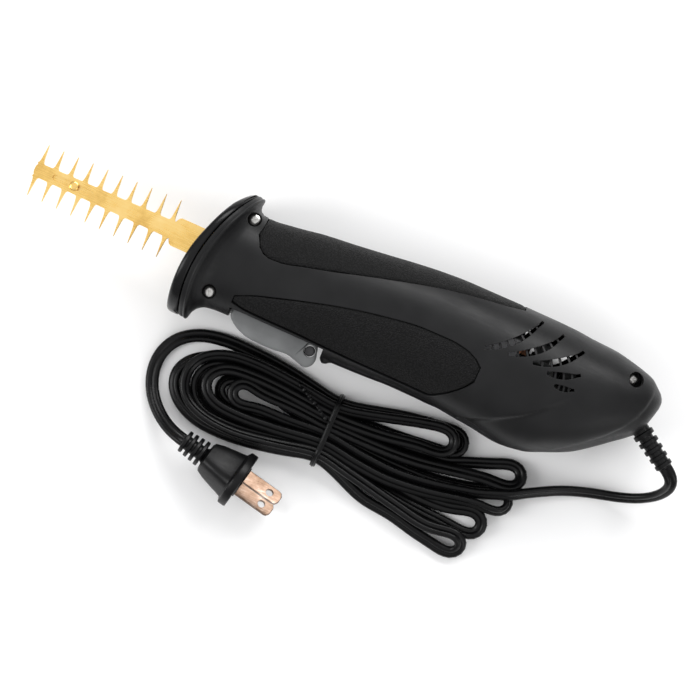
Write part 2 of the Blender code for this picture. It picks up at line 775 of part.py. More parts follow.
def screw_holes():
    """Counterbores from the left side and one straight hole for each screw's shank."""
    shapes = []
    for x, y, seat, wide in SCREWS.values():
        centre = (x, y, PART_Z)
        shapes.append(turned(((SCREW_TIP - 1.0, SCREW_SHANK + GAP), (seat, SCREW_SHANK + GAP),
                              (seat, wide), (40.0, wide)), centre, "z", 14))
    return join(*shapes)


def bosses(side):
    """Posts round the screws, run past the outer form, which trims them."""
    shapes = []
    for x, y, _, wide in SCREWS.values():
        low, high = sorted((-2.0 * side, side * (40.0 if side > 0 else 2.0 - SCREW_TIP)))
        shapes.append(rod(wide + BOSS_WALL, low, high, (x, y, PART_Z), "z", 14))
    return join(*shapes)


def build_shells():
    vents = join(*[prism(o, PART_Z - 40, PART_Z + 40) for o in vent_outlines()])
    notch = block(NOTCH_FRONT, NOTCH_REAR, -40.0, NOTCH_TOP, -20.0, 80.0)
    slot_half = TRIGGER_HALF + 0.6
    slot = block(NOTCH_FRONT + 0.3, NOTCH_REAR - 0.3, NOTCH_TOP - 1, -10.0,
                 PART_Z - slot_half, PART_Z + slot_half)
    pin = rod(AXLE_RADIUS + GAP, -12.5, 12.5, (*TRIGGER_PIVOT, PART_Z), "z", 12)
    exit_hole = turn_shape(rod(3.6 + GAP, -14.0, 14.0, (0.0, 0.0, 0.0), "x", 16), relief_matrix())
    tools = [guide("vent_cutter", vents), guide("notch_cutter", notch), guide("slot_cutter", slot),
             guide("pin_cutter", pin), guide("exit_cutter", exit_hole),
             guide("screw_cutter", screw_holes())]
    for name, side in (("left", 1), ("right", -1)):
        shell = make(name + "_shell", half_body(side), "black_plastic")
        cavity = guide(name + "_cavity", half_cavity(side))
        boolean(cavity, guide(name + "_bosses", bosses(side)), solver="MANIFOLD")
        boolean(shell, cavity, solver="MANIFOLD")
        for label, rows in (("upper", UPPER_GRIP), ("lower", LOWER_GRIP)):
            grip = grip_patch(rows, side, GRIP_DEPTH, 0.0, 0.0)
            make(f"{name}_{label}_grip", grip, "grip_rubber")
            recess = grip_patch(rows, side, GRIP_DEPTH + RECESS_CLEARANCE, 2.5, RECESS_EDGE)
            boolean(shell, guide(f"{name}_{label}_recess", recess), solver="MANIFOLD")
        for tool in tools:
            boolean(shell, tool, solver="MANIFOLD")
        if side < 0:
            x0, x1, y0, y1, z0, z1 = LOCK_SOCKET
            socket = guide("lock_socket", block(x0, x1, y0, y1, PART_Z + z0, PART_Z + z1))
            boolean(shell, socket, solver="MANIFOLD")


def build_screws():
    for name, (x, y, seat, _) in SCREWS.items():
        profile = ((SCREW_TIP, 0.5), (SCREW_TIP + 1.2, SCREW_SHANK), (seat + GAP, SCREW_SHANK),
                   (seat + GAP, SCREW_HEAD), (seat + GAP + 1.2, SCREW_HEAD),
                   (seat + GAP + 1.9, SCREW_HEAD * 0.72))
        screw = make(name, turned(profile, (x, y, PART_Z), "z", 14), "steel")
        top = PART_Z + seat + GAP + 1.9
        cross = block(x - 1.2, x + 1.2, y - 0.3, y + 0.3, top - 0.9, top + 1)
        across = block(x - 0.3, x + 0.3, y - 1.2, y + 1.2, top - 0.9, top + 1)
        boolean(screw, guide(name + "_cross", cross))
        boolean(screw, guide(name + "_across", across))


def build_blades():
    outline = blade_outline()
    pin_hole = rod(1.5, -6.0, 6.0, (TANG_PIN_X, 0.0, PART_Z), "z", 12)
    slot = prism(slot_outline(), PART_Z - 5, PART_Z + 5)
    eye = rod(RIVET_SHANK + GAP, -6.0, 6.0, (RIVET_X, 0.0, PART_Z), "z", 12)
    upper = make("upper_blade", prism(outline, PART_Z + HALF_GAP, PART_Z + HALF_GAP + BLADE_THICK),
                 "gold_steel")
    lower = make("lower_blade", prism(outline, PART_Z - HALF_GAP - BLADE_THICK, PART_Z - HALF_GAP),
                 "gold_steel")
    hole = guide("tang_cutter", pin_hole)
    boolean(upper, hole)
    boolean(lower, hole)
    boolean(upper, guide("slot_in_blade", slot))
    boolean(lower, guide("rivet_cutter", eye))
    face = HALF_GAP + BLADE_THICK + GAP
    rivet = turned(((-face - 0.7, RIVET_HEAD * 0.8), (-face, RIVET_HEAD), (-face, RIVET_SHANK),
                    (face, RIVET_SHANK), (face, RIVET_HEAD), (face + 0.3, RIVET_HEAD),
                    (face + 0.7, RIVET_HEAD * 0.7)), (RIVET_X, 0.0, PART_Z), "z", 14)
    make("blade_rivet", rivet, "gold_steel")
    for name, side in (("upper_driver", 1), ("lower_driver", -1)):
        bar, nose, stud, window = driver_shape(side)
        driver = make(name, bar, "white_plastic")
        boolean(driver, guide(name + "_nose", nose), "UNION")
        boolean(driver, guide(name + "_stud", stud), "UNION")
        boolean(driver, guide(name + "_window", window))


def build_trigger():
    px, py = TRIGGER_PIVOT
    outline = (
        (24.9, -17.2), (25.5, -14.6), (27.6, -13.2), (58.6, -14.2), (60.8, -16.8), (62.4, -18.6),
        (63.2, -21.4), (63.9, -24.4), (63.0, -27.2), (60.6, -28.6), (57.6, -27.9), (52.3, -26.7),
        (46.0, -27.3), (39.0, -27.3), (34.5, -26.9), (30.2, -25.4), (27.2, -23.5), (25.5, -21.4),
    )
    low = PART_Z - TRIGGER_HALF
    high = PART_Z + TRIGGER_HALF
    trigger = make("trigger", prism(outline, low, high), "grey_plastic", (px, py, PART_Z))
    bore = rod(AXLE_RADIUS + GAP, -14.0, 14.0, (px, py, PART_Z), "z", 12)
    lock_bore = rod(LOCK_RADIUS + GAP, -14.0, 14.0, (*LOCK_CENTRE, PART_Z), "z", 16)
    pocket = rod(2.95, -17.5, -10.0, (SPRING_X, 0.0, PART_Z), "y", 14)
    boolean(trigger, guide("trigger_cutter", join(bore, lock_bore, pocket)))
    make("trigger_pin", rod(AXLE_RADIUS, -12.2, 12.2, (px, py, PART_Z), "z", 12), "steel")
    lock = turned(((-8.8, LOCK_RADIUS - 0.4), (-8.4, LOCK_RADIUS), (7.6, LOCK_RADIUS),
                   (8.0, LOCK_RADIUS - 0.4)), (*LOCK_CENTRE, PART_Z), "z", 16)
    make("lock_button", lock, "grey_plastic", (*LOCK_CENTRE, PART_Z), trigger)
    spring = spring_shape((SPRING_X, 0.0, PART_Z), -17.2, -10.3, 2.2, 0.32, 4)
    make("trigger_spring", spring, "steel")
    x0, x1, y0, y1, z0, z1 = SWITCH_BOX
    switch = make("switch_body", block(x0, x1, y0, y1, PART_Z + z0, PART_Z + z1), "carbon")
    well = rod(PLUNGER_RADIUS + GAP, y0 - 2, y0 + 4.6, (PLUNGER_X, 0.0, PART_Z), "y", 12)
    boolean(switch, guide("plunger_cutter", well))
    plunger = rod(PLUNGER_RADIUS, -13.6, y0 + 1.4, (PLUNGER_X, 0.0, PART_Z), "y", 12)
    make("switch_plunger", plunger, "white_plastic", (PLUNGER_X, -13.6, PART_Z))


def across_motor(x_span, reach, half, side):
    """A box beside the motor's axis: its span in X, reach from the axis, and half depth."""
    near, far = sorted(MOTOR_Y + side * y for y in reach)
    return block(*x_span, near, far, PART_Z - half, PART_Z + half)


def build_motor():
    centre = (0.0, MOTOR_Y, PART_Z)
    solid, hole = stator_shape()
    stator = make("stator_core", solid, "steel")
    boolean(stator, guide("stator_cutter", hole))
    make("upper_field_coil", coil_shape(1), "copper")
    make("lower_field_coil", coil_shape(-1), "copper")
    bore = SHAFT_RADIUS + GAP
    pivot = (STACK[0], MOTOR_Y, PART_Z)
    profile = ((WORM[0] - 2.0, JOURNAL_RADIUS), (SHAFT_STEP, JOURNAL_RADIUS),
               (SHAFT_STEP, SHAFT_RADIUS), (SHAFT_END, SHAFT_RADIUS))
    make("motor_shaft", turned(profile, centre, "x", 14), "steel", pivot)
    make("armature_core", bush(bore, ARMATURE_RADIUS, *STACK, centre, "x", 24), "steel", pivot)
    make("commutator", bush(bore, COMMUTATOR_RADIUS, *COMMUTATOR_X, centre, "x"), "copper", pivot)
    make("front_bearing", bush(bore, BEARING_RADIUS, *FRONT_BEARING_X, centre, "x"), "steel")
    make("rear_bearing", bush(bore, BEARING_RADIUS, *REAR_BEARING_X, centre, "x"), "steel")
    fan = rings([[(x, MOTOR_Y + v, PART_Z + u) for u, v in fan_outline()] for x in FAN_X])
    fan_wheel = make("cooling_fan", fan, "white_plastic", pivot)
    cutter = rod(bore, FAN_X[0] - CLEARANCE, FAN_X[1] + CLEARANCE, centre, "x", 14)
    boolean(fan_wheel, guide("fan_cutter", cutter))
    worm = make("worm", worm_shape(), "steel", pivot)
    cutter = rod(JOURNAL_RADIUS + GAP, WORM[0] - CLEARANCE, WORM[1] + CLEARANCE, centre, "x", 12)
    boolean(worm, guide("worm_cutter", cutter))
    for name, side in (("upper", 1), ("lower", -1)):
        make(f"{name}_brush", across_motor(BRUSH_X, BRUSH_REACH, BRUSH_HALF, side), "carbon")
        holder = make(f"{name}_brush_holder", across_motor(HOLDER_X, HOLDER_REACH, HOLDER_HALF,
                                                           side), "brass")
        tunnel = across_motor(TUNNEL_X, TUNNEL_REACH, TUNNEL_HALF, side)
        boolean(holder, guide(f"{name}_brush_tunnel", tunnel))


def build_gearbox():
    gx, gy = GEAR_CENTRE
    pivot = (gx, gy, PART_Z)
    centre = (0.0, MOTOR_Y, PART_Z)
    gear = make("gear_wheel", prism(gear_outline(), PART_Z - GEAR_HALF, PART_Z + GEAR_HALF),
                "white_plastic", pivot)
    near, far = CRANK_LEVELS
    pins = join(rod(CRANK_RADIUS, near, far, (gx, gy + ECCENTRIC, PART_Z), "z", 12),
                rod(CRANK_RADIUS, -far, -near, (gx, gy - ECCENTRIC, PART_Z), "z", 12))
    boolean(gear, guide("crank_pins", pins), "UNION")
    reach = AXLE_HALF + CLEARANCE
    hole = guide("axle_cutter", rod(AXLE_RADIUS + GAP, -reach, reach, pivot, "z", 12))
    boolean(gear, hole)
    make("gear_axle", rod(AXLE_RADIUS, -AXLE_HALF, AXLE_HALF, pivot, "z", 12), "steel")
    frame = make("gearbox_frame", block(*FRAME_X, *FRAME_Y, *levels(1, FRAME_LEVELS)),
                 "black_plastic")
    bulkhead = block(BULKHEAD_FRONT, FRAME_X[1], BULKHEAD_LOW, FRAME_Y[1],
                     PART_Z - BULKHEAD_HALF, PART_Z + BULKHEAD_HALF)
    boolean(frame, guide("frame_bulkhead", bulkhead), "UNION")
    right = block(*FRAME_X, *FRAME_Y, *levels(-1, FRAME_LEVELS))
    boolean(frame, guide("frame_right", right), "UNION")
    seat = rod(BEARING_RADIUS + GAP, BULKHEAD_FRONT - CLEARANCE, FRAME_X[1] + CLEARANCE, centre,
               "x", 20)
    boolean(frame, guide("bearing_seat", seat))
    boolean(frame, hole)
    tall, deep = BRACKET_HALF
    bracket = make("rear_bearing_bracket", block(*BRACKET_X, MOTOR_Y - tall, MOTOR_Y + tall,
                                                 PART_Z - deep, PART_Z + deep), "black_plastic")
    seat = rod(BEARING_RADIUS + GAP, BRACKET_X[0] - CLEARANCE, BRACKET_X[1] + CLEARANCE, centre,
               "x", 20)
    boolean(bracket, guide("rear_bearing_seat", seat))
    make("suppressor_capacitor", block(*CAPACITOR, PART_Z - CAPACITOR_HALF,
                                       PART_Z + CAPACITOR_HALF), "grey_plastic")


def build_cord():
    make("strain_relief", relief_shape(), "cord_rubber")
    cord_tube("cord_tail", CORD_TAIL_ROUTE, "cord_rubber")
    cord_tube("cord_plug_lead", PLUG_LEAD_ROUTE, "cord_rubber")
    make("cord_hank", prism(HANK_OUTLINE, HANK_BOTTOM, HANK_TOP), "cord_rubber")
    low_y, high_y = TIE_Y
    inner = (low_y, high_y, HANK_BOTTOM - GAP, HANK_TOP + GAP)
    loops = []
    for x in TIE_X:
        for grow in ((0.0, TIE_THICK) if x == TIE_X[0] else (TIE_THICK, 0.0)):
            loops.append([(x, inner[0] - grow, inner[2] - grow), (x, inner[1] + grow, inner[2] - grow),
                          (x, inner[1] + grow, inner[3] + grow), (x, inner[0] - grow, inner[3] + grow)])
    make("cord_tie", rings(loops, closed=True), "cord_rubber")
    plug = make("plug_body", plug_shape(), "cord_rubber")
    boolean(plug, guide("plug_land", turn_shape(block(*PLUG_LAND), plug_matrix())), "UNION")
    for name, side in (("first_prong", 1), ("second_prong", -1)):
        blade, eye = prong_shape(side)
        prong = make(name, blade, "steel")
        boolean(prong, guide(name + "_eye", eye))


def build():
    for obj in list(bpy.data.objects):
        bpy.data.objects.remove(obj, do_unlink=True)
    build_shells()
    make("front_guard", guard_shape(), "guard_plastic")
    build_screws()
    build_blades()
    build_trigger()
    build_motor()
    build_gearbox()
    build_cord()
    bpy.context.view_layer.update()


build()
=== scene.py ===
import math

import bmesh
import bpy
import numpy as np
from mathutils import Matrix, Vector


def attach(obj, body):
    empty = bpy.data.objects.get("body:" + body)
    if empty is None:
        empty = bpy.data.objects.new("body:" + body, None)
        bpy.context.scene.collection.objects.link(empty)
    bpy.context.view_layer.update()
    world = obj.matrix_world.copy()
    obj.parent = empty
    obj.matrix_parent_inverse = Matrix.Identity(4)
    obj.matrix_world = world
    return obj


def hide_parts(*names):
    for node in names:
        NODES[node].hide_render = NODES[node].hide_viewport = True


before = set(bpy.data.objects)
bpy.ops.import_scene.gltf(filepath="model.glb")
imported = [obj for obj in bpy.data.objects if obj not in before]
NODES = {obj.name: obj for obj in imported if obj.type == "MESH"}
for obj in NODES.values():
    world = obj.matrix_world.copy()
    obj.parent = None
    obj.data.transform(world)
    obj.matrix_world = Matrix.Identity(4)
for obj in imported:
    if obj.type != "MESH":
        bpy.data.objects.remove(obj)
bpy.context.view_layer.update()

# All route and section numbers are millimetres in the tool's own frame, as in the CAD source.
ORIGIN_X = 63.25
ORIGIN_Y = -0.1
PART_Z = 26.0
GAP = 0.3
HALF_GAP = GAP / 2


def metres(points):
    """Tool-frame millimetres to the row frame's metres."""
    points = np.asarray(points, float)
    return (points - (ORIGIN_X, ORIGIN_Y, 0.0)) / 1000.0


# ---------------------------------------------------------------- camera

CAMERA_ROLL = math.radians(24.2)
CAMERA_HEIGHT = 1100.0
SENSOR = 36.0
VIEW_WIDTH = 700.0 / 2.48      # what the view takes in across, at the tool's mid height
LENS = SENSOR * (CAMERA_HEIGHT - PART_Z) / VIEW_WIDTH
LOOK_AT = (74.9, -14.7, 0.0)

camera = bpy.data.objects.new("camera", bpy.data.cameras.new("camera"))
camera.data.lens = LENS
camera.data.sensor_width = SENSOR
camera.data.clip_start = 0.01
camera.data.clip_end = 20.0
look = metres(LOOK_AT)
camera.location = (look[0], look[1], CAMERA_HEIGHT / 1000.0)
camera.rotation_euler = (0.0, 0.0, CAMERA_ROLL)
bpy.context.scene.collection.objects.link(camera)
bpy.context.scene.camera = camera


# ---------------------------------------------------------------- mesh helpers

def new_mesh(name, points, faces):
    """An object from tool-frame millimetres, with its normals outwards."""
    mesh = bpy.data.meshes.new(name)
    mesh.from_pydata([tuple(p) for p in metres(points)], [], [list(f) for f in faces])
    work = bmesh.new()
    work.from_mesh(mesh)
    bmesh.ops.recalc_face_normals(work, faces=work.faces)
    work.to_mesh(mesh)
    work.free()
    obj = bpy.data.objects.new(name, mesh)
    bpy.context.scene.collection.objects.link(obj)
    return obj


def shade(obj, angle=34.0):
    """Smooth shading, with edges sharper than the angle kept crisp."""
    mesh = obj.data
    mesh.polygons.foreach_set("use_smooth", [True] * len(mesh.polygons))
    mesh.set_sharp_from_angle(angle=math.radians(angle))


def apply_modifiers(obj):
    """Replaces the object's mesh by what its modifiers make of it."""
    graph = bpy.context.evaluated_depsgraph_get()
    mesh = bpy.data.meshes.new_from_object(obj.evaluated_get(graph))
    obj.modifiers.clear()
    old = obj.data
    obj.data = mesh
    bpy.data.meshes.remove(old)


def cut(obj, cutters, operation="DIFFERENCE", solver="MANIFOLD"):
    """Booleans applied at once; the cutters are removed afterwards by drop()."""
    for cutter in cutters:
        step = obj.modifiers.new(cutter.name, "BOOLEAN")
        step.operation = operation
        step.solver = solver
        step.object = cutter
    apply_modifiers(obj)


def drop(*objects):
    for obj in objects:
        bpy.data.objects.remove(obj, do_unlink=True)


def finish_piece(obj, finish, body, replaces=(), angle=34.0):
    """Material, shading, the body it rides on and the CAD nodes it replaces."""
    obj.data.materials.clear()
    obj.data.materials.append(finish)
    shade(obj, angle)
    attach(obj, body)
    if replaces:
        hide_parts(*replaces)
    return obj


def join(*shapes):
    """Several (points, faces) shapes as one."""
    points = []
    faces = []
    for more_points, more_faces in shapes:
        start = len(points)
        points.extend(more_points)
        faces.extend([tuple(start + i for i in face) for face in more_faces])
    return points, faces


def prism(outline, low, high):
    """An outline in XY extruded from low to high Z."""
    count = len(outline)
    points = [(x, y, low) for x, y in outline] + [(x, y, high) for x, y in outline]
    faces = [tuple(range(count)), tuple(range(count, 2 * count))]
    for i in range(count):
        j = (i + 1) % count
        faces.append((i, j, j + count, i + count))
    return points, faces


def block(x0, x1, y0, y1, z0, z1):
    return prism(((x0, y0), (x1, y0), (x1, y1), (x0, y1)), z0, z1)


def rings(loops, closed=False):
    """A skin over rings of points: capped at both ends, or joined last to first."""
    count = len(loops[0])
    points = [tuple(p) for loop in loops for p in loop]
    faces = []
    spans = len(loops) if closed else len(loops) - 1
    for k in range(spans):
        a = k * count
        b = ((k + 1) % len(loops)) * count
        for i in range(count):
            j = (i + 1) % count
            faces.append((a + i, a + j, b + j, b + i))
    if not closed:
        last = (len(loops) - 1) * count
        faces.append(tuple(range(count)))
        faces.append(tuple(range(last, last + count)))
    return points, faces


def circle(radius, count):
    return [(radius * math.cos(math.tau * i / count), radius * math.sin(math.tau * i / count))
            for i in range(count)]


def turned(profile, centre, axis, count=32):
    """A body of revolution along an axis, from (along, radius) pairs."""
    spot = "xyz".index(axis)
    loops = []
    for along, radius in profile:
        loop = []
        for u, v in circle(radius, count):
            offset = [u, v]
            offset.insert(spot, along)
            loop.append([c + o for c, o in zip(centre, offset)])
        loops.append(loop)
    return rings(loops)


def rod(radius, low, high, centre, axis, count=32):
    return turned(((low, radius), (high, radius)), centre, axis, count)


def placed(shape, matrix):
    points, faces = shape
    return [tuple(matrix @ Vector(p)) for p in points], faces


def smooth_line(points, step):
    """A centripetal Catmull-Rom line through points, sampled about every step."""
    points = np.array(points, float)
    ends = np.vstack([2 * points[0] - points[1], points, 2 * points[-1] - points[-2]])
    line = []
    for k in range(1, len(ends) - 2):
        p0, p1, p2, p3 = ends[k - 1:k + 3]
        t1 = np.linalg.norm(p1 - p0) ** 0.5
        t2 = t1 + np.linalg.norm(p2 - p1) ** 0.5
        t3 = t2 + np.linalg.norm(p3 - p2) ** 0.5
        count = max(1, int(round(np.linalg.norm(p2 - p1) / step)))
        for i in range(count):
            t = t1 + (t2 - t1) * i / count
            a1 = (t1 - t) / t1 * p0 + t / t1 * p1
            a2 = (t2 - t) / (t2 - t1) * p1 + (t - t1) / (t2 - t1) * p2
            a3 = (t3 - t) / (t3 - t2) * p2 + (t - t2) / (t3 - t2) * p3
            b1 = (t2 - t) / t2 * a1 + t / t2 * a2
            b2 = (t3 - t) / (t3 - t1) * a2 + (t - t1) / (t3 - t1) * a3
            line.append((t2 - t) / (t2 - t1) * b1 + (t - t1) / (t2 - t1) * b2)
    line.append(points[-1])
    return np.array(line)


# ---------------------------------------------------------------- materials

def shader(name, colour, roughness, metallic=0.0, specular=0.5):
    material = bpy.data.materials.new(name)
    material.use_nodes = True
    tree = material.node_tree
    surface = tree.nodes["Principled BSDF"]
    surface.inputs["Base Color"].default_value = (*colour, 1.0)
    surface.inputs["Roughness"].default_value = roughness
    surface.inputs["Metallic"].default_value = metallic
    surface.inputs["Specular IOR Level"].default_value = specular
    material.diffuse_color = (*colour, 1.0)
    return material, tree, surface


def add(tree, kind, **values):
    """A new node, with each value set as a property or else as a constant input."""
    node = tree.nodes.new(kind)
    for key, value in values.items():
        if hasattr(node, key):
            setattr(node, key, value)
        else:
            node.inputs[key].default_value = value
    return node


def coordinates(tree, stretch=(1.0, 1.0, 1.0)):
    """The object's own coordinates, stretched."""
    place = add(tree, "ShaderNodeTexCoord")
    mapping = add(tree, "ShaderNodeMapping")
    mapping.inputs["Scale"].default_value = stretch
    tree.links.new(place.outputs["Object"], mapping.inputs["Vector"])
    return mapping.outputs["Vector"]


def noise(tree, where, scale, detail=3.0, roughness=0.5):
    node = add(tree, "ShaderNodeTexNoise", Scale=scale, Detail=detail, Roughness=roughness)
    tree.links.new(where, node.inputs["Vector"])
    return node.outputs["Fac"]


def ramp(tree, value, stops):
    node = add(tree, "ShaderNodeValToRGB")
    band = node.color_ramp
    while len(band.elements) < len(stops):
        band.elements.new(0.5)
    for element, (where, colour) in zip(band.elements, stops):
        element.position = where
        element.color = (*colour, 1.0) if len(colour) == 3 else colour
    tree.links.new(value, node.inputs["Fac"])
    return node.outputs["Color"]


def span(tree, value, low, high, to_low, to_high):
    """A value's range from low to high, mapped to another range."""
    node = add(tree, "ShaderNodeMapRange")
    for key, number in (("From Min", low), ("From Max", high), ("To Min", to_low),
                        ("To Max", to_high)):
        node.inputs[key].default_value = number
    tree.links.new(value, node.inputs["Value"])
    return node.outputs["Result"]


def maths(tree, operation, first, second):
    node = add(tree, "ShaderNodeMath", operation=operation)
    for socket, item in zip(node.inputs, (first, second)):
        if isinstance(item, (int, float)):
            socket.default_value = item
        else:
            tree.links.new(item, socket)
    return node.outputs[0]


def bump(tree, surface, height, strength, distance, edge=None):
    """Fine relief from a height, over edges rounded by the edge radius if one is given."""
    node = add(tree, "ShaderNodeBump")
    node.inputs["Strength"].default_value = strength
    node.inputs["Distance"].default_value = distance
    tree.links.new(height, node.inputs["Height"])
    if edge:
        rounded = add(tree, "ShaderNodeBevel", samples=4)
        rounded.inputs["Radius"].default_value = edge
        tree.links.new(rounded.outputs["Normal"], node.inputs["Normal"])
    tree.links.new(node.outputs["Normal"], surface.inputs["Normal"])


def moulded(name, dark, light, rough, grain_scale, grain_depth, specular=0.5, edge=None,
            mottling=90.0):
    """Moulded plastic or rubber: fine spark-eroded grain, faint colour and gloss variation."""
    material, tree, surface = shader(name, dark, rough[0], specular=specular)
    where = coordinates(tree)
    broad = noise(tree, where, mottling, 3.0)
    fine = noise(tree, where, grain_scale, 4.0, 0.62)
    colour = ramp(tree, broad, ((0.3, dark), (0.72, light)))
    tree.links.new(colour, surface.inputs["Base Color"])
    scuff = noise(tree, coordinates(tree, (0.35, 2.2, 1.0)), mottling * 4.0, 4.0, 0.6)
    gloss = span(tree, maths(tree, "MULTIPLY", scuff, broad), 0.12, 0.42, rough[0], rough[1])
    tree.links.new(gloss, surface.inputs["Roughness"])
    bump(tree, surface, fine, 0.55, grain_depth, edge)
    return material


def pebbled(name, dark, light, rough, scale, depth):
    """Soft rubber with a raised pebble grain, its colour darker in the hollows between pebbles as
    painted shade.
    """
    material, tree, surface = shader(name, dark, rough[0], specular=0.15)
    where = coordinates(tree)
    cells = add(tree, "ShaderNodeTexVoronoi", feature="SMOOTH_F1", Scale=scale, Smoothness=0.35)
    tree.links.new(where, cells.inputs["Vector"])
    raised = span(tree, cells.outputs["Distance"], 0.1, 0.75, 1.0, 0.0)
    height = maths(tree, "ADD", raised, maths(tree, "MULTIPLY", noise(tree, where, scale * 2.6),
                                              0.5))
    broad = noise(tree, where, 60.0, 3.0)
    # colour follows the pebbles' height: painted shade in the hollows between them and lighter tops,
    # times a slow random tone
    painted_pebble_shade = ramp(tree, maths(tree, "MULTIPLY", raised, broad), ((0.05, dark), (0.6, light)))
    tree.links.new(painted_pebble_shade, surface.inputs["Base Color"])
    tree.links.new(span(tree, raised, 0.0, 1.0, rough[1], rough[0]), surface.inputs["Roughness"])
    bump(tree, surface, height, 0.8, depth)
    return material


def brushed(name, stops, rough, stretch, scale, depth, patches, edge=None):
    """Metal with drawn lines along one axis and slow tint changes."""
    material, tree, surface = shader(name, stops[0][1], rough[0], metallic=1.0)
    lines = noise(tree, coordinates(tree, stretch), scale, 5.0, 0.65)
    slow = noise(tree, coordinates(tree), patches, 4.0, 0.6)
    mixed = maths(tree, "ADD", maths(tree, "MULTIPLY", lines, 0.35),
                  maths(tree, "MULTIPLY", slow, 0.65))
    tree.links.new(ramp(tree, mixed, stops), surface.inputs["Base Color"])
    tree.links.new(span(tree, mixed, 0.3, 0.7, rough[0], rough[1]), surface.inputs["Roughness"])
    bump(tree, surface, lines, 0.4, depth, edge)
    return material


BLACK = moulded("black_plastic_look", (0.0042, 0.0043, 0.0047), (0.0064, 0.0065, 0.007),
                (0.36, 0.5), 5200.0, 0.00007, specular=0.24, edge=0.00035)
GUARD = moulded("guard_plastic_look", (0.0035, 0.0035, 0.0038), (0.006, 0.006, 0.0064),
                (0.18, 0.3), 2600.0, 0.00003, specular=0.2, edge=0.0004)
RUBBER = pebbled("grip_rubber_look", (0.0022, 0.0022, 0.0023), (0.0062, 0.0062, 0.0064),
                 (0.46, 0.66), 1500.0, 0.00024)
GREY = moulded("grey_plastic_look", (0.115, 0.119, 0.12), (0.165, 0.17, 0.171), (0.42, 0.55),
               4200.0, 0.00006, specular=0.35, edge=0.0004)
WHITE = moulded("white_plastic_look", (0.72, 0.71, 0.68), (0.8, 0.79, 0.76), (0.38, 0.5),
                3000.0, 0.00004)
CORD = moulded("cord_rubber_look", (0.002, 0.002, 0.0022), (0.0036, 0.0036, 0.004),
               (0.24, 0.36), 2400.0, 0.00005, specular=0.2, mottling=140.0)
PLUG = moulded("plug_rubber_look", (0.0022, 0.0022, 0.0024), (0.004, 0.004, 0.0044),
               (0.28, 0.44), 3200.0, 0.00006, specular=0.2, edge=0.0004, mottling=120.0)
GOLD = brushed("gold_steel_look", ((0.25, (0.62, 0.34, 0.07)), (0.5, (0.93, 0.62, 0.2)),
                                   (0.75, (1.0, 0.75, 0.33))),
               (0.2, 0.34), (0.25, 6.0, 1.0), 420.0, 0.00003, patches=90.0)
STEEL = brushed("steel_look", ((0.25, (0.42, 0.41, 0.4)), (0.6, (0.68, 0.67, 0.65)),
                               (0.8, (0.78, 0.77, 0.76))),
                (0.22, 0.38), (1.0, 1.0, 5.0), 900.0, 0.00002, patches=220.0)
NICKEL = brushed("nickel_look", ((0.36, (0.07, 0.04, 0.024)), (0.54, (0.22, 0.15, 0.11)),
                                 (0.72, (0.6, 0.54, 0.49))),
                 (0.24, 0.42), (0.3, 4.0, 4.0), 500.0, 0.00003, patches=110.0, edge=0.00025)
COPPER = brushed("copper_look", ((0.2, (0.3, 0.12, 0.06)), (0.8, (0.52, 0.26, 0.16))),
                 (0.28, 0.4), (0.4, 1.0, 14.0), 700.0, 0.00012, patches=160.0)
BRASS = brushed("brass_look", ((0.2, (0.5, 0.34, 0.12)), (0.8, (0.82, 0.62, 0.3))),
                (0.28, 0.42), (1.0, 5.0, 1.0), 600.0, 0.00003, patches=160.0)
LAMINATE = brushed("laminate_look", ((0.2, (0.12, 0.12, 0.13)), (0.8, (0.42, 0.42, 0.43))),
                   (0.36, 0.5), (14.0, 0.2, 0.2), 160.0, 0.00015, patches=120.0)
CARBON = moulded("carbon_look", (0.018, 0.018, 0.02), (0.05, 0.05, 0.052), (0.55, 0.7),
                 3600.0, 0.00008)


# ---------------------------------------------------------------- cord

CORD_WIDE = 5.5
CORD_THIN = 2.8
CORD_STEP = 1.8
LOW = 2.5                    # axis height of a strand lying tilted on the table
HIGH = 6.8                   # axis height of a strand lying on another
RELIEF_EXIT = (195.3, 3.8)
RELIEF_ANGLE = math.radians(-33.0)
CORD_TAIL = (
    (206.9, -3.7, 26.0), (210.7, -6.2, 26.0), (213.6, -8.1, 25.7), (215.4, -11.4, 22.8),
    (214.0, -16.6, 16.2), (208.5, -21.2, 9.6), (200.0, -24.8, 5.0), (190.0, -27.6, 3.0),
    (178.0, -31.8, 4.4), (166.0, -38.0, 7.2), (152.0, -45.0, 7.6), (132.0, -51.6, HIGH),
    (115.0, -53.0, HIGH), (98.0, -52.4, HIGH),
)
# where each pass goes through the tie: its place across the bundle, in the lower or upper layer
WAIST_X = 80.0
WAIST_TOP = -36.5
WAIST_STEP = -4.0
WAIST = {f"L{k + 1}": (WAIST_X, WAIST_TOP + WAIST_STEP * k, LOW) for k in range(7)}
WAIST.update({f"U{k + 1}": (WAIST_X, WAIST_TOP + WAIST_STEP * (k + 0.5), HIGH) for k in range(6)})
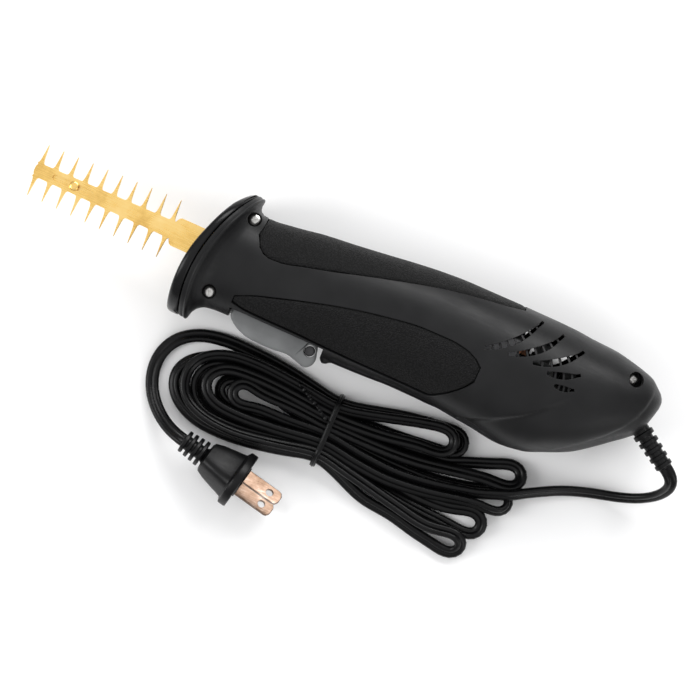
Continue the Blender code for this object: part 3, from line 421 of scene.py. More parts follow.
# loops at the left end, from one pass to the next, all in the layer of their passes
LEFT_LOOPS = {
    ("U4", "U3"): (
        (66, -51.4), (54, -52.0), (43, -52.4), (35.6, -49.2), (42, -46.0), (54, -45.6),
        (66, -45.8),
    ),
    ("U5", "U2"): (
        (66, -56.2), (54, -57.6), (42, -58.2), (31, -56.4), (26.2, -49.8), (31, -43.0),
        (42, -40.8), (54, -40.8), (66, -41.6),
    ),
    ("U1", "U6"): (
        (66, -37.2), (54, -36.2), (42, -35.8), (29, -37.6), (20.2, -43.4), (17.8, -51),
        (21.4, -59.4), (31, -63.8), (44, -64.8), (56, -63.2), (68, -60.8),
    ),
    ("L5", "L4"): (
        (66, -53.2), (54, -55.0), (42, -55.8), (31.2, -50.4), (42, -43.8), (54, -45.2),
        (66, -47.4),
    ),
    ("L3", "L6"): (
        (66, -43.2), (54, -41.2), (42, -40.0), (29, -41.6), (22.2, -50.6), (28, -60.2),
        (42, -61.8), (54, -60.4), (66, -58.0),
    ),
    ("L7", "L2"): (
        (68, -63.2), (56, -65.8), (42, -67.6), (28, -66.8), (17.4, -61.4), (13.2, -53),
        (16.4, -45.4), (26, -39.6), (40, -37.2), (54, -37.8), (66, -39.0),
    ),
}
# lobes at the right end, which change layer on the way where their passes differ
RIGHT_LOBES = {
    ("L2", "L1"): (
        (92, -40.3, LOW), (104, -39.6, LOW), (116, -38.8, LOW), (128, -37.2, LOW),
        (135.4, -32.6, LOW), (128, -28.2, LOW), (116, -28.8, LOW), (104, -31.0, LOW),
        (92, -34.2, LOW),
    ),
    ("U2", "U1"): (
        (92, -42.0, HIGH), (104, -40.8, HIGH), (114, -39.0, HIGH), (124, -37.4, HIGH),
        (131.4, -33.0, HIGH), (124, -28.8, HIGH), (116, -29.6, HIGH), (104, -32.8, HIGH),
        (92, -36.2, HIGH),
    ),
    ("U3", "L3"): (
        (92, -46.6, HIGH), (104, -46.4, HIGH), (120, -45.0, HIGH), (134, -42.4, HIGH),
        (146, -40.2, 7.4), (156, -38.8, 6.4), (162.6, -35.0, 5.0), (156, -31.4, 3.4),
        (146, -34.0, LOW), (136, -37.8, LOW), (122, -40.4, LOW), (106, -42.6, LOW),
        (92, -43.8, LOW),
    ),
    ("L4", "U5"): (
        (92, -48.6, LOW), (110, -49.2, LOW), (128, -48.6, LOW), (144, -45.4, LOW),
        (154, -42.6, 3.4), (161.8, -46.2, 5.2), (155, -50.2, 7.0), (142, -51.4, 7.6),
        (128, -54.2, HIGH), (112, -57.2, HIGH), (96, -56.4, HIGH),
    ),
    ("L6", "L5"): (
        (92, -57.8, LOW), (104, -60.0, LOW), (120, -62.2, LOW), (136, -63.2, LOW),
        (148, -63.2, 3.0), (155.6, -59.2, 3.8), (148, -55.4, 4.6), (137, -57.4, 4.4),
        (122, -57.8, 3.4), (106, -55.4, LOW), (92, -53.6, LOW),
    ),
    ("U6", "L7"): (
        (92, -60.4, HIGH), (106, -63.0, HIGH), (120, -65.6, HIGH), (132, -67.4, HIGH),
        (143, -66.8, 7.0), (151.2, -69.8, 5.0), (144, -73.4, 3.4), (132, -72.6, LOW),
        (118, -69.8, LOW), (104, -68.2, LOW), (92, -63.8, LOW),
    ),
}
PASSES = ("U4", "U3", "L3", "L6", "L5", "L4", "U5", "U2", "U1", "U6", "L7", "L2", "L1")
PLUG_LEAD = (
    (66.0, -34.6, LOW), (54.0, -32.9, LOW), (40.0, -32.0, 2.0), (26.0, -32.2, 1.6),
    (15.5, -34.8, 1.5), (8.2, -40.0, 1.5), (4.6, -47.0, 1.5), (4.3, -55.0, 1.6),
    (7.6, -63.5, 2.6), (13.6, -70.0, 5.2), (20.6, -74.2, 8.8), (26.0, -75.7, 12.0),
    (29.0, -76.4, 12.7), (33.0, -77.2, 12.7),
)


def hank_route():
    """The whole cord as one line: tail, passes through the tie with their loops, plug lead."""
    points = list(CORD_TAIL)
    loops = LEFT_LOOPS
    for here, after in zip(PASSES, PASSES[1:]):
        points.append(WAIST[here])
        known = loops.get((here, after)) or loops[(after, here)][::-1]
        points.extend(p if len(p) == 3 else (*p, WAIST[here][2]) for p in known)
        loops = RIGHT_LOBES if loops is LEFT_LOOPS else LEFT_LOOPS
    points.append(WAIST[PASSES[-1]])
    points.extend(PLUG_LEAD)
    return smooth_line(points, 1.5)


PITCH_ACROSS = 3.9           # least spacing of strands side by side, each tilted by the same turn
PITCH_UP = 4.1
LEAD_STEPS = 76              # steps at the plug's end that lie flat on the table
LEAD_HEIGHT = 1.6
TILTED_HEIGHT = 2.75
LEAST_BEND = 5.2
APART = 1.04                 # spacing that is held, as a share of the pitch
NEAR_STEPS = 6               # steps along the cord within which spacing isn't held
ROUNDS = 260
PINNED = 4


def floor_height(line):
    """Least axis height: half the flat cord's thickness in the lead, more where it is tilted."""
    flat = np.arange(len(line)) > len(line) - LEAD_STEPS
    return np.where(flat, LEAD_HEIGHT, TILTED_HEIGHT)


def relax_cord(line):
    """Settles the cord: an even step, no tight bends, no strand inside another."""
    seg = np.linalg.norm(np.diff(line, axis=0), axis=1)
    run = np.concatenate([[0.0], np.cumsum(seg)])
    count = int(run[-1] / CORD_STEP)
    at = np.linspace(0.0, run[-1], count)
    home = np.array([np.interp(at, run, line[:, i]) for i in range(3)]).T
    spots = home.copy()
    shape = np.array([1 / PITCH_ACROSS, 1 / PITCH_ACROSS, 1 / PITCH_UP])
    tight = 1 / LEAST_BEND
    for _ in range(ROUNDS):
        for _ in range(2):
            middle = 0.5 * (spots[:-2] + spots[2:]) - spots[1:-1]
            bend = np.linalg.norm(middle, axis=1) / CORD_STEP ** 2 * 2
            share = np.clip((bend - tight) / tight, 0, 1) * 0.5
            even = np.zeros_like(spots)
            even[2:-2] = (-spots[:-4] + 4 * spots[1:-3] - 6 * spots[2:-2] + 4 * spots[3:-1]
                          - spots[4:]) / 16
            spots[1:-1] += middle * share[:, None]
            spots += even * 0.5
        for _ in range(2):
            for first in (0, 1):
                pairs = (count - first) // 2
                a = spots[first:first + 2 * pairs:2]
                b = spots[first + 1:first + 1 + 2 * pairs:2]
                way = b - a
                size = np.linalg.norm(way, axis=1, keepdims=True)
                pull = way * (0.5 * (size - CORD_STEP) / size)
                a += pull
                b -= pull
        scaled = spots * shape
        square = ((scaled[:, None] - scaled[None]) ** 2).sum(2)
        i, j = np.where(square < APART ** 2)
        keep = (j - i) > NEAR_STEPS
        i, j = i[keep], j[keep]
        way = scaled[i] - scaled[j]
        size = np.sqrt((way ** 2).sum(1)) + 1e-9
        push = way / size[:, None] * ((APART - size) * 0.25)[:, None] / shape
        np.add.at(spots, i, push)
        np.add.at(spots, j, -push)
        spots[:, 2] = np.maximum(spots[:, 2], floor_height(home))
        spots += (home - spots) * 0.01
        spots[:PINNED] = home[:PINNED]
        spots[-PINNED:] = home[-PINNED:]
    return spots


CORE_ARC = math.radians(125.0)     # how far round each conductor shows, either way
WEB_HALF = 0.8


def twin_section(count=9):
    """Two round conductors side by side, joined by a web: a figure of eight."""
    radius = CORD_THIN / 2
    centre = CORD_WIDE / 2 - radius
    loop = []
    for side in (1, -1):
        for i in range(count):
            a = CORE_ARC * (2 * i / (count - 1) - 1)
            loop.append((side * (centre + radius * math.cos(a)), side * radius * math.sin(a)))
        loop.append((0.0, WEB_HALF * side))
    return loop


def sweep(line, up_share, section):
    """A section carried along a line; up_share turns it from flat (0) to on edge (1)."""
    ahead = np.gradient(line, axis=0)
    ahead /= np.linalg.norm(ahead, axis=1, keepdims=True)
    up = np.array([0.0, 0.0, 1.0])
    side = np.cross(ahead, up)
    side /= np.linalg.norm(side, axis=1, keepdims=True) + 1e-9
    top = np.cross(side, ahead)
    loops = []
    for k in range(len(line)):
        turn = up_share[k] * math.pi / 2
        wide = side[k] * math.cos(turn) + top[k] * math.sin(turn)
        thin = np.cross(wide, ahead[k])
        loops.append([line[k] + wide * u + thin * v for u, v in section])
    return rings(loops)


def soft_step(value):
    value = np.clip(value, 0.0, 1.0)
    return value * value * (3 - 2 * value)


TAIL_FLAT = 30.0             # lengths over which the tilt comes in, stays out and goes out
LEAD_FLAT = 60.0
LEAD_TURN = 110.0


def tilt_along(count):
    """Share of a quarter turn that the flat cord is tilted by: none at either end."""
    run = np.arange(count) * CORD_STEP
    share = 0.5 + 0.13 * np.sin(run / 61.0) + 0.06 * np.sin(run / 23.0 + 1.0)
    share *= soft_step(run / TAIL_FLAT)
    return share * soft_step((run[-1] - run - LEAD_FLAT) / LEAD_TURN)


path_mm = relax_cord(hank_route())
cord = new_mesh("power_cord", *sweep(path_mm, tilt_along(len(path_mm)), twin_section()))
finish_piece(cord, CORD, "handle", ("cord_tail", "cord_hank", "cord_plug_lead"), 60)


# ---------------------------------------------------------------- body sections

BODY_SECTIONS = np.array((
    (5.7, 26.8, -30.0, 26.0, 1.0), (8.2, 26.4, -30.4, 26.0, 1.0), (10.0, 23.6, -27.3, 24.2, 0.98),
    (12.2, 21.6, -24.7, 22.4, 0.94), (15.5, 20.5, -22.9, 21.2, 0.86), (21.0, 20.3, -22.3, 20.5, 0.7),
    (28.0, 21.0, -22.2, 20.4, 0.5), (36.0, 22.0, -22.2, 20.6, 0.3), (48.0, 23.6, -22.2, 21.1, 0.0),
    (60.0, 24.9, -22.1, 21.6, 0.0), (72.0, 26.4, -21.7, 22.2, 0.0), (84.0, 28.0, -21.3, 22.9, 0.0),
    (96.0, 29.3, -20.7, 23.6, 0.0), (108.0, 30.0, -20.8, 24.3, 0.0), (120.0, 30.1, -22.1, 25.0, 0.0),
    (132.0, 30.2, -23.3, 25.7, 0.0), (144.0, 30.2, -24.7, 26.0, 0.0), (154.0, 30.0, -23.6, 25.9, 0.0),
    (163.0, 29.3, -20.2, 25.3, 0.0), (172.0, 28.9, -16.0, 23.9, 0.0), (180.0, 27.6, -10.2, 21.9, 0.0),
    (186.0, 26.2, -5.2, 19.8, 0.0), (190.5, 24.8, -1.5, 17.4, 0.0), (194.0, 22.2, 2.2, 14.6, 0.0),
    (196.3, 20.2, 8.0, 11.2, 0.0), (197.5, 18.6, 12.4, 7.6, 0.0),
))
SECTION_POWER = 2.5
WALL = 3.0
CAVITY_TAPER = 170.0
CAVITY_REAR = 192.0
SHELL_ARC = 72


def monotone(xs, ys):
    """Slopes of a monotone cubic through the points, so that it never overshoots."""
    widths = np.diff(xs)
    rises = np.diff(ys) / widths
    slopes = np.zeros(len(xs))
    for k in range(1, len(xs) - 1):
        if rises[k - 1] * rises[k] > 0:
            w1 = 2 * widths[k] + widths[k - 1]
            w2 = widths[k] + 2 * widths[k - 1]
            slopes[k] = (w1 + w2) / (w1 / rises[k - 1] + w2 / rises[k])
    slopes[0] = rises[0]
    slopes[-1] = rises[-1]
    return slopes


SECTION_X = BODY_SECTIONS[:, 0]
SECTION_SLOPES = [monotone(SECTION_X, BODY_SECTIONS[:, c]) for c in range(1, 5)]


def hermite(t):
    """Weights of start value, start slope, end value and end slope at t from 0 to 1."""
    return (2 * t ** 3 - 3 * t ** 2 + 1, t ** 3 - 2 * t ** 2 + t, 3 * t ** 2 - 2 * t ** 3,
            t ** 3 - t ** 2)


def section(x):
    """Top, bottom, half depth and rake share of the body at base x."""
    x = min(max(x, SECTION_X[0]), SECTION_X[-1])
    k = min(int(np.searchsorted(SECTION_X, x, side="right")) - 1, len(SECTION_X) - 2)
    width = SECTION_X[k + 1] - SECTION_X[k]
    t = (x - SECTION_X[k]) / width
    weights = hermite(t)
    out = []
    for c in range(4):
        values = BODY_SECTIONS[:, c + 1]
        slopes = SECTION_SLOPES[c]
        out.append(weights[0] * values[k] + weights[1] * width * slopes[k]
                   + weights[2] * values[k + 1] + weights[3] * width * slopes[k + 1])
    return out


def seam(y):
    """X of the curved seam between the guard and the shells."""
    return 5.4 + 0.205 * y + 0.0077 * y * y


def power(value, exponent):
    return math.copysign(abs(value) ** exponent, value)


def body_point(x, angle, inset, side):
    """A point of the body's skin, moved in by inset, on the left (1) or right (-1) half."""
    top, bottom, depth, rake = section(x)
    middle = (top + bottom) / 2
    y = middle + ((top - bottom) / 2 - inset) * power(math.cos(angle), 2 / SECTION_POWER)
    z = (depth - HALF_GAP - inset) * power(math.sin(angle), 2 / SECTION_POWER)
    return x + rake * (seam(y) - seam(0)), y, PART_Z + side * (HALF_GAP + max(0.0, z))


def base_x(x, y):
    """The base x of the raked section that passes through (x, y)."""
    guess = x
    for _ in range(6):
        guess = x - section(guess)[3] * (seam(y) - seam(0))
    return guess


def angle_at(x, y):
    """The angle at which the section at base x reaches height y."""
    top, bottom = section(x)[:2]
    share = (y - (top + bottom) / 2) / ((top - bottom) / 2)
    share = max(-1.0, min(1.0, share))
    return math.acos(power(share, SECTION_POWER / 2))


def stations():
    """Base x of the fine sections: close together where the form turns quickly."""
    spots = []
    for low, high in zip(SECTION_X, SECTION_X[1:]):
        step = 0.45 if low < 15 or low > 189 else 0.9
        count = max(2, int(round((high - low) / step)))
        spots.extend(low + (high - low) * i / count for i in range(count))
    return spots + [SECTION_X[-1]]


def near_line(x, y, line):
    """(nearest distance, signed side, share along) of (x, y) from a polyline."""
    best = None
    total = sum((Vector(b) - Vector(a)).length for a, b in zip(line, line[1:]))
    passed = 0.0
    for a, b in zip(line, line[1:]):
        ax, ay = a
        dx, dy = b[0] - ax, b[1] - ay
        size = math.hypot(dx, dy)
        t = min(max(((x - ax) * dx + (y - ay) * dy) / (size * size), 0.0), 1.0)
        ex, ey = x - ax - dx * t, y - ay - dy * t
        gap = math.hypot(ex, ey)
        if best is None or gap < best[0]:
            best = (gap, math.copysign(1.0, dx * ey - dy * ex), (passed + t * size) / total)
        passed += size
    return best


FLANGE_GROOVE = (7.2, 0.35, 0.5)             # base x, half width and depth
REAR_CREASE = ((120.0, -21.5), (128.1, -20.6), (136.9, -16.6), (146.8, -10.4), (154.5, -4.0),
               (161.7, 3.4), (167.3, 9.8))
REAR_EDGE = ((157.0, -23.5), (167.3, -15.6), (173.3, -10.9), (180.5, -4.4), (185.7, 1.6),
             (189.2, 7.6), (191.0, 12.6), (192.0, 18.7), (191.4, 23.5))
CREASE_DEPTH = 1.3
CREASE_REACH = 13.0
CREASE_BREADTH = 1.7
EDGE_DEPTH = 0.75
EDGE_BREADTH = 1.1
FACE_SHARE = 0.25                            # how far round from the seam the relief starts


def body_relief(x, y, z_share):
    """How far the outer skin stands in (negative) from the lofted form, in millimetres."""
    depth = 0.0
    if z_share > FACE_SHARE:
        if 116 < x < 172 and y < 14:
            gap, where, along = near_line(x, y, REAR_CREASE)
            if where < 0:
                fade = soft_step(along / 0.12) * soft_step((1.0 - along) / 0.35)
                fade *= 1.0 - soft_step(gap / CREASE_REACH)
                depth -= CREASE_DEPTH * fade * soft_step(gap / CREASE_BREADTH)
        if x > 155:
            gap, where, along = near_line(x, y, REAR_EDGE)
            if where < 0:
                fade = soft_step(along / 0.15) * soft_step((1.0 - along) / 0.15)
                fade *= soft_step((z_share - FACE_SHARE) / 0.3)
                depth -= EDGE_DEPTH * fade * soft_step(gap / EDGE_BREADTH)
    return depth


RAIL_FRONT = 65.0
RAIL_REAR = 118.0
RAIL_HALF = 3.4
RAIL_HEIGHT = 0.85
TAB_HEIGHT = 1.4
TAB_REAR = 70.0


def rail(x, angle, z):
    """A low bead along the lower edge behind the trigger, with a small tab at its front."""
    if math.cos(angle) > 0:
        return 0.0
    flank = 1.0 - ((z - PART_Z) / RAIL_HALF) ** 2
    if flank <= 0:
        return 0.0
    length = float(soft_step((x - RAIL_FRONT) / 1.2) * soft_step((RAIL_REAR - x) / 8.0))
    tab = float(soft_step((x - RAIL_FRONT) / 0.8) * soft_step((TAB_REAR - x) / 2.4))
    return flank ** 0.5 * (RAIL_HEIGHT * length + TAB_HEIGHT * tab)


def half_body(side):
    """One half of the body, with the groove, crease, chamfer and rail in its skin."""
    at, half, deep = FLANGE_GROOVE
    angles = [math.pi * i / SHELL_ARC for i in range(SHELL_ARC + 1)]
    loops = []
    for x in stations():
        loop = []
        groove = deep * max(0.0, 1.0 - abs(x - at) / half)
        for a in angles:
            px, py, pz = body_point(x, a, groove, side)
            sunk = body_relief(px, py, math.sin(a)) if 0 < a < math.pi else 0.0
            if sunk:
                px, py, pz = body_point(x, a, groove - sunk, side)
            py -= rail(px, a, pz)
            loop.append((px, py, pz))
        loops.append(loop)
    return rings(loops)


CAVITY_ARC = 14
CAVITY_OPEN = 2.0            # how far the cavity reaches out of the front, twice over


def half_cavity(side):
    """The hollow of one half, open to the front and to the other half."""
    angles = [math.pi * i / CAVITY_ARC for i in range(CAVITY_ARC + 1)]
    rear = SECTION_X[-1]
    shrink = (CAVITY_REAR - CAVITY_TAPER) / (rear - CAVITY_TAPER)
    loops = []
    for k, base in enumerate(SECTION_X):
        x = base if base < CAVITY_TAPER else CAVITY_TAPER + (base - CAVITY_TAPER) * shrink
        if k == 0:
            x -= CAVITY_OPEN
        loop = [body_point(x, a, WALL, side) for a in angles]
        if k == 0:
            loop = [(px - CAVITY_OPEN, py, pz) for px, py, pz in loop]
        top = (loop[0][0], loop[0][1], PART_Z - side)
        bottom = (loop[-1][0], loop[-1][1], PART_Z - side)
        loops.append([top] + loop + [bottom])
    return rings(loops)


# ---------------------------------------------------------------- grips

UPPER_GRIP = (
    (23.6, 12.5), (25.5, 8.2), (30.5, 5.5), (36.0, 5.8), (44.0, 7.9), (56.0, 11.1), (68.0, 14.7),
    (84.0, 19.2), (100.0, 23.2), (114.0, 25.6), (126.0, 27.4), (132.0, 28.7),
)
LOWER_GRIP = (
    (24.5, -14.2, -16.4), (30.0, -11.5, -17.4), (40.0, -8.2, -17.6), (50.0, -5.1, -17.6),
    (66.0, -0.7, -18.0), (82.0, 2.6, -18.2), (99.0, 4.8, -18.2), (110.0, 4.9, -18.3),
    (114.0, 4.5, -16.4), (118.5, 3.5, -13.2), (122.0, 1.9, -9.8), (124.4, -0.4, -6.0),
)
GRIP_DEPTH = 1.3
GRIP_STRIPS = 26
RECESS_EDGE = 0.45
RECESS_SPARE = 0.5            # how far the recess goes below the pad
RECESS_OVER = 2.5             # and how far its cutter stands over the skin
CROWN = 0.5
CROWN_REACH = 1.2


def fine_rows(rows, step):
    """The grip's rows at closer x, each line through its points."""
    rows = np.array(rows, float)
    slopes = [monotone(rows[:, 0], rows[:, c]) for c in range(1, rows.shape[1])]
    out = []
    for k in range(len(rows) - 1):
        width = rows[k + 1, 0] - rows[k, 0]
        count = max(1, int(round(width / step)))
        for i in range(count):
            t = i / count
            line = [rows[k, 0] + width * t]
            for c, slope in enumerate(slopes):
                a, b = rows[k, c + 1], rows[k + 1, c + 1]
                start, leaving, end, arriving = hermite(t)
                line.append(start * a + leaving * width * slope[k] + end * b
                            + arriving * width * slope[k + 1])
            out.append(line)
    out.append(list(rows[-1]))
    return out


def grip_patch(rows, side, under, over, edge, crown=0.0):
    """A patch of the body's skin between two lines; crown rounds its outer edges down."""
    lower = []
    upper = []
    wraps = len(rows[0]) == 2
    first = rows[0][0]
    last = rows[-1][0]
    for k, row in enumerate(rows):
        x = row[0]
        if k == 0:
            x -= edge
        if k == len(rows) - 1:
            x += edge
        low = row[-1] - edge
        bx_low = base_x(x, low)
        if wraps:
            start = 0.0
            bx_high = base_x(x, section(x)[0])
        else:
            high = row[1] + edge
            bx_high = base_x(x, high)
            start = angle_at(bx_high, high)
        end = angle_at(bx_low, low)
        for skin, inset in ((lower, under), (upper, -over)):
            line = []
            for i in range(GRIP_STRIPS + 1):
                t = i / GRIP_STRIPS
                if wraps:
                    t = 1 - (1 - t) ** 1.25
                bx = bx_high + (bx_low - bx_high) * t
                point = body_point(bx, start + (end - start) * t, inset, side)
                if crown and skin is upper:
                    near = min(abs(point[1] - low), point[0] - first + 0.2, last - point[0] + 0.2)
                    if not wraps:
                        near = min(near, abs(point[1] - high))
                    sink = crown * max(0.0, 1.0 - near / CROWN_REACH) ** 2
                    point = body_point(bx, start + (end - start) * t, inset + sink, side)
                line.append(point)
            if wraps and edge:
                px, py, _ = line[0]
                line.insert(0, (px, py, PART_Z - side))
            skin.append(line)
    return rings([up + list(reversed(low)) for up, low in zip(upper, lower)])


# ---------------------------------------------------------------- shells

SCREWS = {
    "front_upper_screw": (19.0, 17.1, 9.0, 2.9),
    "front_lower_screw": (14.3, -16.4, 12.0, 2.9),
    "rear_screw": (183.4, 21.1, 4.0, 3.1),
}
SCREW_SHANK = 1.4
SCREW_HEAD = 2.3
BOSS_WALL = 1.1
SCREW_TIP = -9.0
THROUGH = 40.0                # a reach that passes through the whole body
TRIGGER_PIVOT = (28.0, -16.0)
TRIGGER_HALF = 9.0
LOCK_CENTRE = (60.3, -21.8)
LOCK_RADIUS = 2.1
LOCK_SOCKET = (57.6, 63.4, -20.0, -16.4, PART_Z - 12.0, PART_Z - 9.0)
PIN_RADIUS = 1.5
PIN_HALF = 12.5
SLOT_MARGIN = 0.6
RELIEF_HOLE = 3.6
NOTCH_FRONT = 24.3
NOTCH_REAR = 65.0
NOTCH_TOP = -18.9
VENT_SPINES = (
    ((123.0, 8.0), (133.0, 15.4), (140.4, 27.0), 2.6),
    ((132.6, 9.4), (143.2, 16.0), (150.0, 25.4), 2.8),
    ((142.6, 10.2), (152.5, 15.0), (159.8, 22.6), 3.0),
    ((149.4, 9.0), (156.0, 10.4), (162.0, 13.4), 2.8),
    ((154.0, 5.6), (158.0, 5.8), (162.0, 7.0), 2.4),
)


RIB_PITCH = 3.6
RIB_HALF = 0.42
RIB_TOP = 0.8                 # insets of a rib's outer and inner face from the skin
RIB_BOTTOM = 2.7
RIB_OVER = 0.8                # how far a rib reaches past the vent on either side


def vent_spot(start, middle, end, t):
    """A point at t along the curve from start through middle to end, and the way across it."""
    control = [2 * m - (s + e) / 2 for s, m, e in zip(start, middle, end)]
    spot = Vector([(1 - t) ** 2 * s + 2 * t * (1 - t) * c + t * t * e
                   for s, c, e in zip(start, control, end)])
    ahead = Vector([(1 - t) * (c - s) + t * (e - c)
                    for s, c, e in zip(start, control, end)]).normalized()
    return spot, ahead, Vector((-ahead.y, ahead.x))


def vent_outlines(count=20):
    """Five crescents, each round its spine and widest near its middle."""
    outlines = []
    for start, middle, end, width in VENT_SPINES:
        left = []
        right = []
        spine = [vent_spot(start, middle, end, i / (count - 1))[0] for i in range(count)]
        for i, spot in enumerate(spine):
            ahead = spine[min(i + 1, count - 1)] - spine[max(i - 1, 0)]
            across = Vector((-ahead.y, ahead.x)).normalized()
            share = i / (count - 1)
            half = width / 2 * (0.2 + 0.8 * math.sin(math.pi * min(1.0, 0.12 + share) * 0.9))
            left.append(tuple(spot + across * half))
            right.append(tuple(spot - across * half))
        outlines.append(left + list(reversed(right)))
    return outlines


def vent_ribs(side):
    """Short bars across the vents, under the skin."""
    shapes = []
    for start, middle, end, width in VENT_SPINES:
        count = max(3, int(math.dist(start, end) / RIB_PITCH))
        for i in range(1, count + 1):
            spot, ahead, across = vent_spot(start, middle, end, i / (count + 1))
            loops = []
            for inset in (RIB_TOP, RIB_BOTTOM):
                loop = []
                for u, v in ((-1, -1), (1, -1), (1, 1), (-1, 1)):
                    corner = spot + ahead * (u * RIB_HALF) + across * (v * (width / 2 + RIB_OVER))
                    point = body_point(corner.x, angle_at(corner.x, corner.y), inset, side)
                    loop.append((corner.x, corner.y, point[2]))
                loops.append(loop)
            shapes.append(rings(loops))
    return join(*shapes)


def relief_matrix():
    turn = Matrix.Rotation(RELIEF_ANGLE, 4, "Z")
    return Matrix.Translation((RELIEF_EXIT[0], RELIEF_EXIT[1], PART_Z)) @ turn


def shell_cutters():
    """What is cut from both shells: vents, trigger notch and slot, pin, cord exit, screw holes."""
    vents = join(*[prism(o, PART_Z - THROUGH, PART_Z + THROUGH) for o in vent_outlines()])
    slot_half = TRIGGER_HALF + SLOT_MARGIN
    exit_hole = placed(rod(RELIEF_HOLE + GAP, -14.0, 14.0, (0.0, 0.0, 0.0), "x", 32), relief_matrix())
    holes = []
    for x, y, seat, wide in SCREWS.values():
        profile = ((SCREW_TIP - 1.0, SCREW_SHANK + GAP), (seat, SCREW_SHANK + GAP), (seat, wide),
                   (THROUGH, wide))
        holes.append(turned(profile, (x, y, PART_Z), "z", 40))
    shapes = {
        "vents": vents,
        "notch": block(NOTCH_FRONT, NOTCH_REAR, -THROUGH, NOTCH_TOP, -20.0, 80.0),
        "slot": block(NOTCH_FRONT + GAP, NOTCH_REAR - GAP, NOTCH_TOP - 1, -10.0,
                      PART_Z - slot_half, PART_Z + slot_half),
        "pin": rod(PIN_RADIUS + GAP, -PIN_HALF, PIN_HALF, (*TRIGGER_PIVOT, PART_Z), "z", 16),
        "exit": exit_hole,
        "holes": join(*holes),
    }
    return [new_mesh("cut_" + name, *shape) for name, shape in shapes.items()]


def boss_posts(side):
    """Posts that are kept solid round the screws in one half's cavity."""
    posts = []
    for x, y, _, wide in SCREWS.values():
        low, high = sorted((-2.0 * side, side * (THROUGH if side > 0 else 2.0 - SCREW_TIP)))
        posts.append(rod(wide + BOSS_WALL, low, high, (x, y, PART_Z), "z", 24))
    return join(*posts)


def build_shells():
    """Both halves of the handle with their vent ribs and grip pads."""
    cutters = shell_cutters()
    socket = new_mesh("cut_socket", *block(*LOCK_SOCKET))
    for name, side in (("left", 1), ("right", -1)):
        shell = new_mesh(name + "_half", *half_body(side))
        cavity = new_mesh("cut_cavity", *half_cavity(side))
        boss = new_mesh("cut_boss", *boss_posts(side))
        cut(cavity, [boss])
        recesses = []
        for rows in (UPPER_GRIP, LOWER_GRIP):
            recess = grip_patch(fine_rows(rows, 2.5), side, GRIP_DEPTH + RECESS_SPARE,
                                RECESS_OVER, RECESS_EDGE)
            recesses.append(new_mesh("cut_recess", *recess))
        tools = [cavity] + recesses + cutters
        if side < 0:
            tools.append(socket)
        cut(shell, tools)
        finish_piece(shell, BLACK, "handle", (name + "_shell",), 30)
        drop(cavity, boss, *recesses)
        ribs = new_mesh(name + "_vent_ribs", *vent_ribs(side))
        finish_piece(ribs, BLACK, "handle", (), 30)
        for label, rows in (("upper", UPPER_GRIP), ("lower", LOWER_GRIP)):
            patch = grip_patch(fine_rows(rows, 1.2), side, GRIP_DEPTH, 0.0, 0.0, CROWN)
            pad = new_mesh(f"{name}_{label}_pad", *patch)
            finish_piece(pad, RUBBER, "handle", (f"{name}_{label}_grip",), 50)
    drop(*cutters, socket)


build_shells()


# ---------------------------------------------------------------- guard

GUARD_DEPTH = 26.0
GUARD_HALF = 28.45
GUARD_MIDDLE = -1.75
GUARD_SLOT = (8.6, 3.2)
# share of the way from slot to rim, distance behind the front face or from the seam
GUARD_PROFILE = (
    (0.0, 3.4, None), (0.3, 3.25, None), (0.55, 2.6, None), (0.72, 1.9, None),
    (0.82, 1.15, None), (0.88, 0.55, None), (0.92, 0.12, None), (0.945, 0.0, None),
    (0.965, 0.1, None), (0.982, 0.42, None), (0.993, 0.95, None), (1.0, 1.8, None),
    (1.0, None, -1.4), (0.996, None, -0.7), (0.984, None, -0.25), (0.965, None, 0.0),
    (0.88, None, 0.0), (0.86, None, -0.6), (0.84, None, -1.6), (0.0, None, -0.4),
)


def guard_thickness(y, z):
    """Thick at the bottom, thin at the top and towards the sides."""
    thick = 5.6 - 0.06 * y - 0.0025 * y * y
    return max(min(thick, 3.4), thick - 2.0 * (z / GUARD_DEPTH) ** 2)


def guard_shape(sides=144):
    loops = []
    for share, from_front, from_seam in GUARD_PROFILE:
        loop = []
        for i in range(sides):
            angle = math.tau * i / sides
            slot_y = GUARD_SLOT[0] * power(math.cos(angle), 0.7)
            slot_z = GUARD_SLOT[1] * power(math.sin(angle), 0.7)
            rim_y = GUARD_MIDDLE + GUARD_HALF * power(math.cos(angle), 0.86)
            rim_z = GUARD_DEPTH * power(math.sin(angle), 0.86)
            y = slot_y + (rim_y - slot_y) * share
            z = slot_z + (rim_z - slot_z) * share
            x = seam(y)
            x += from_seam if from_front is None else from_front - guard_thickness(y, z)
            loop.append((x, y, PART_Z + z))
        loops.append(loop)
    return rings(loops, closed=True)


guard = new_mesh("finger_guard", *guard_shape())
finish_piece(guard, GUARD, "handle", ("front_guard",), 40)


# ---------------------------------------------------------------- screws

HEAD_TALL = 1.9
HEAD_TURN = 0.35
CROSS_HALF = (1.35, 0.27)


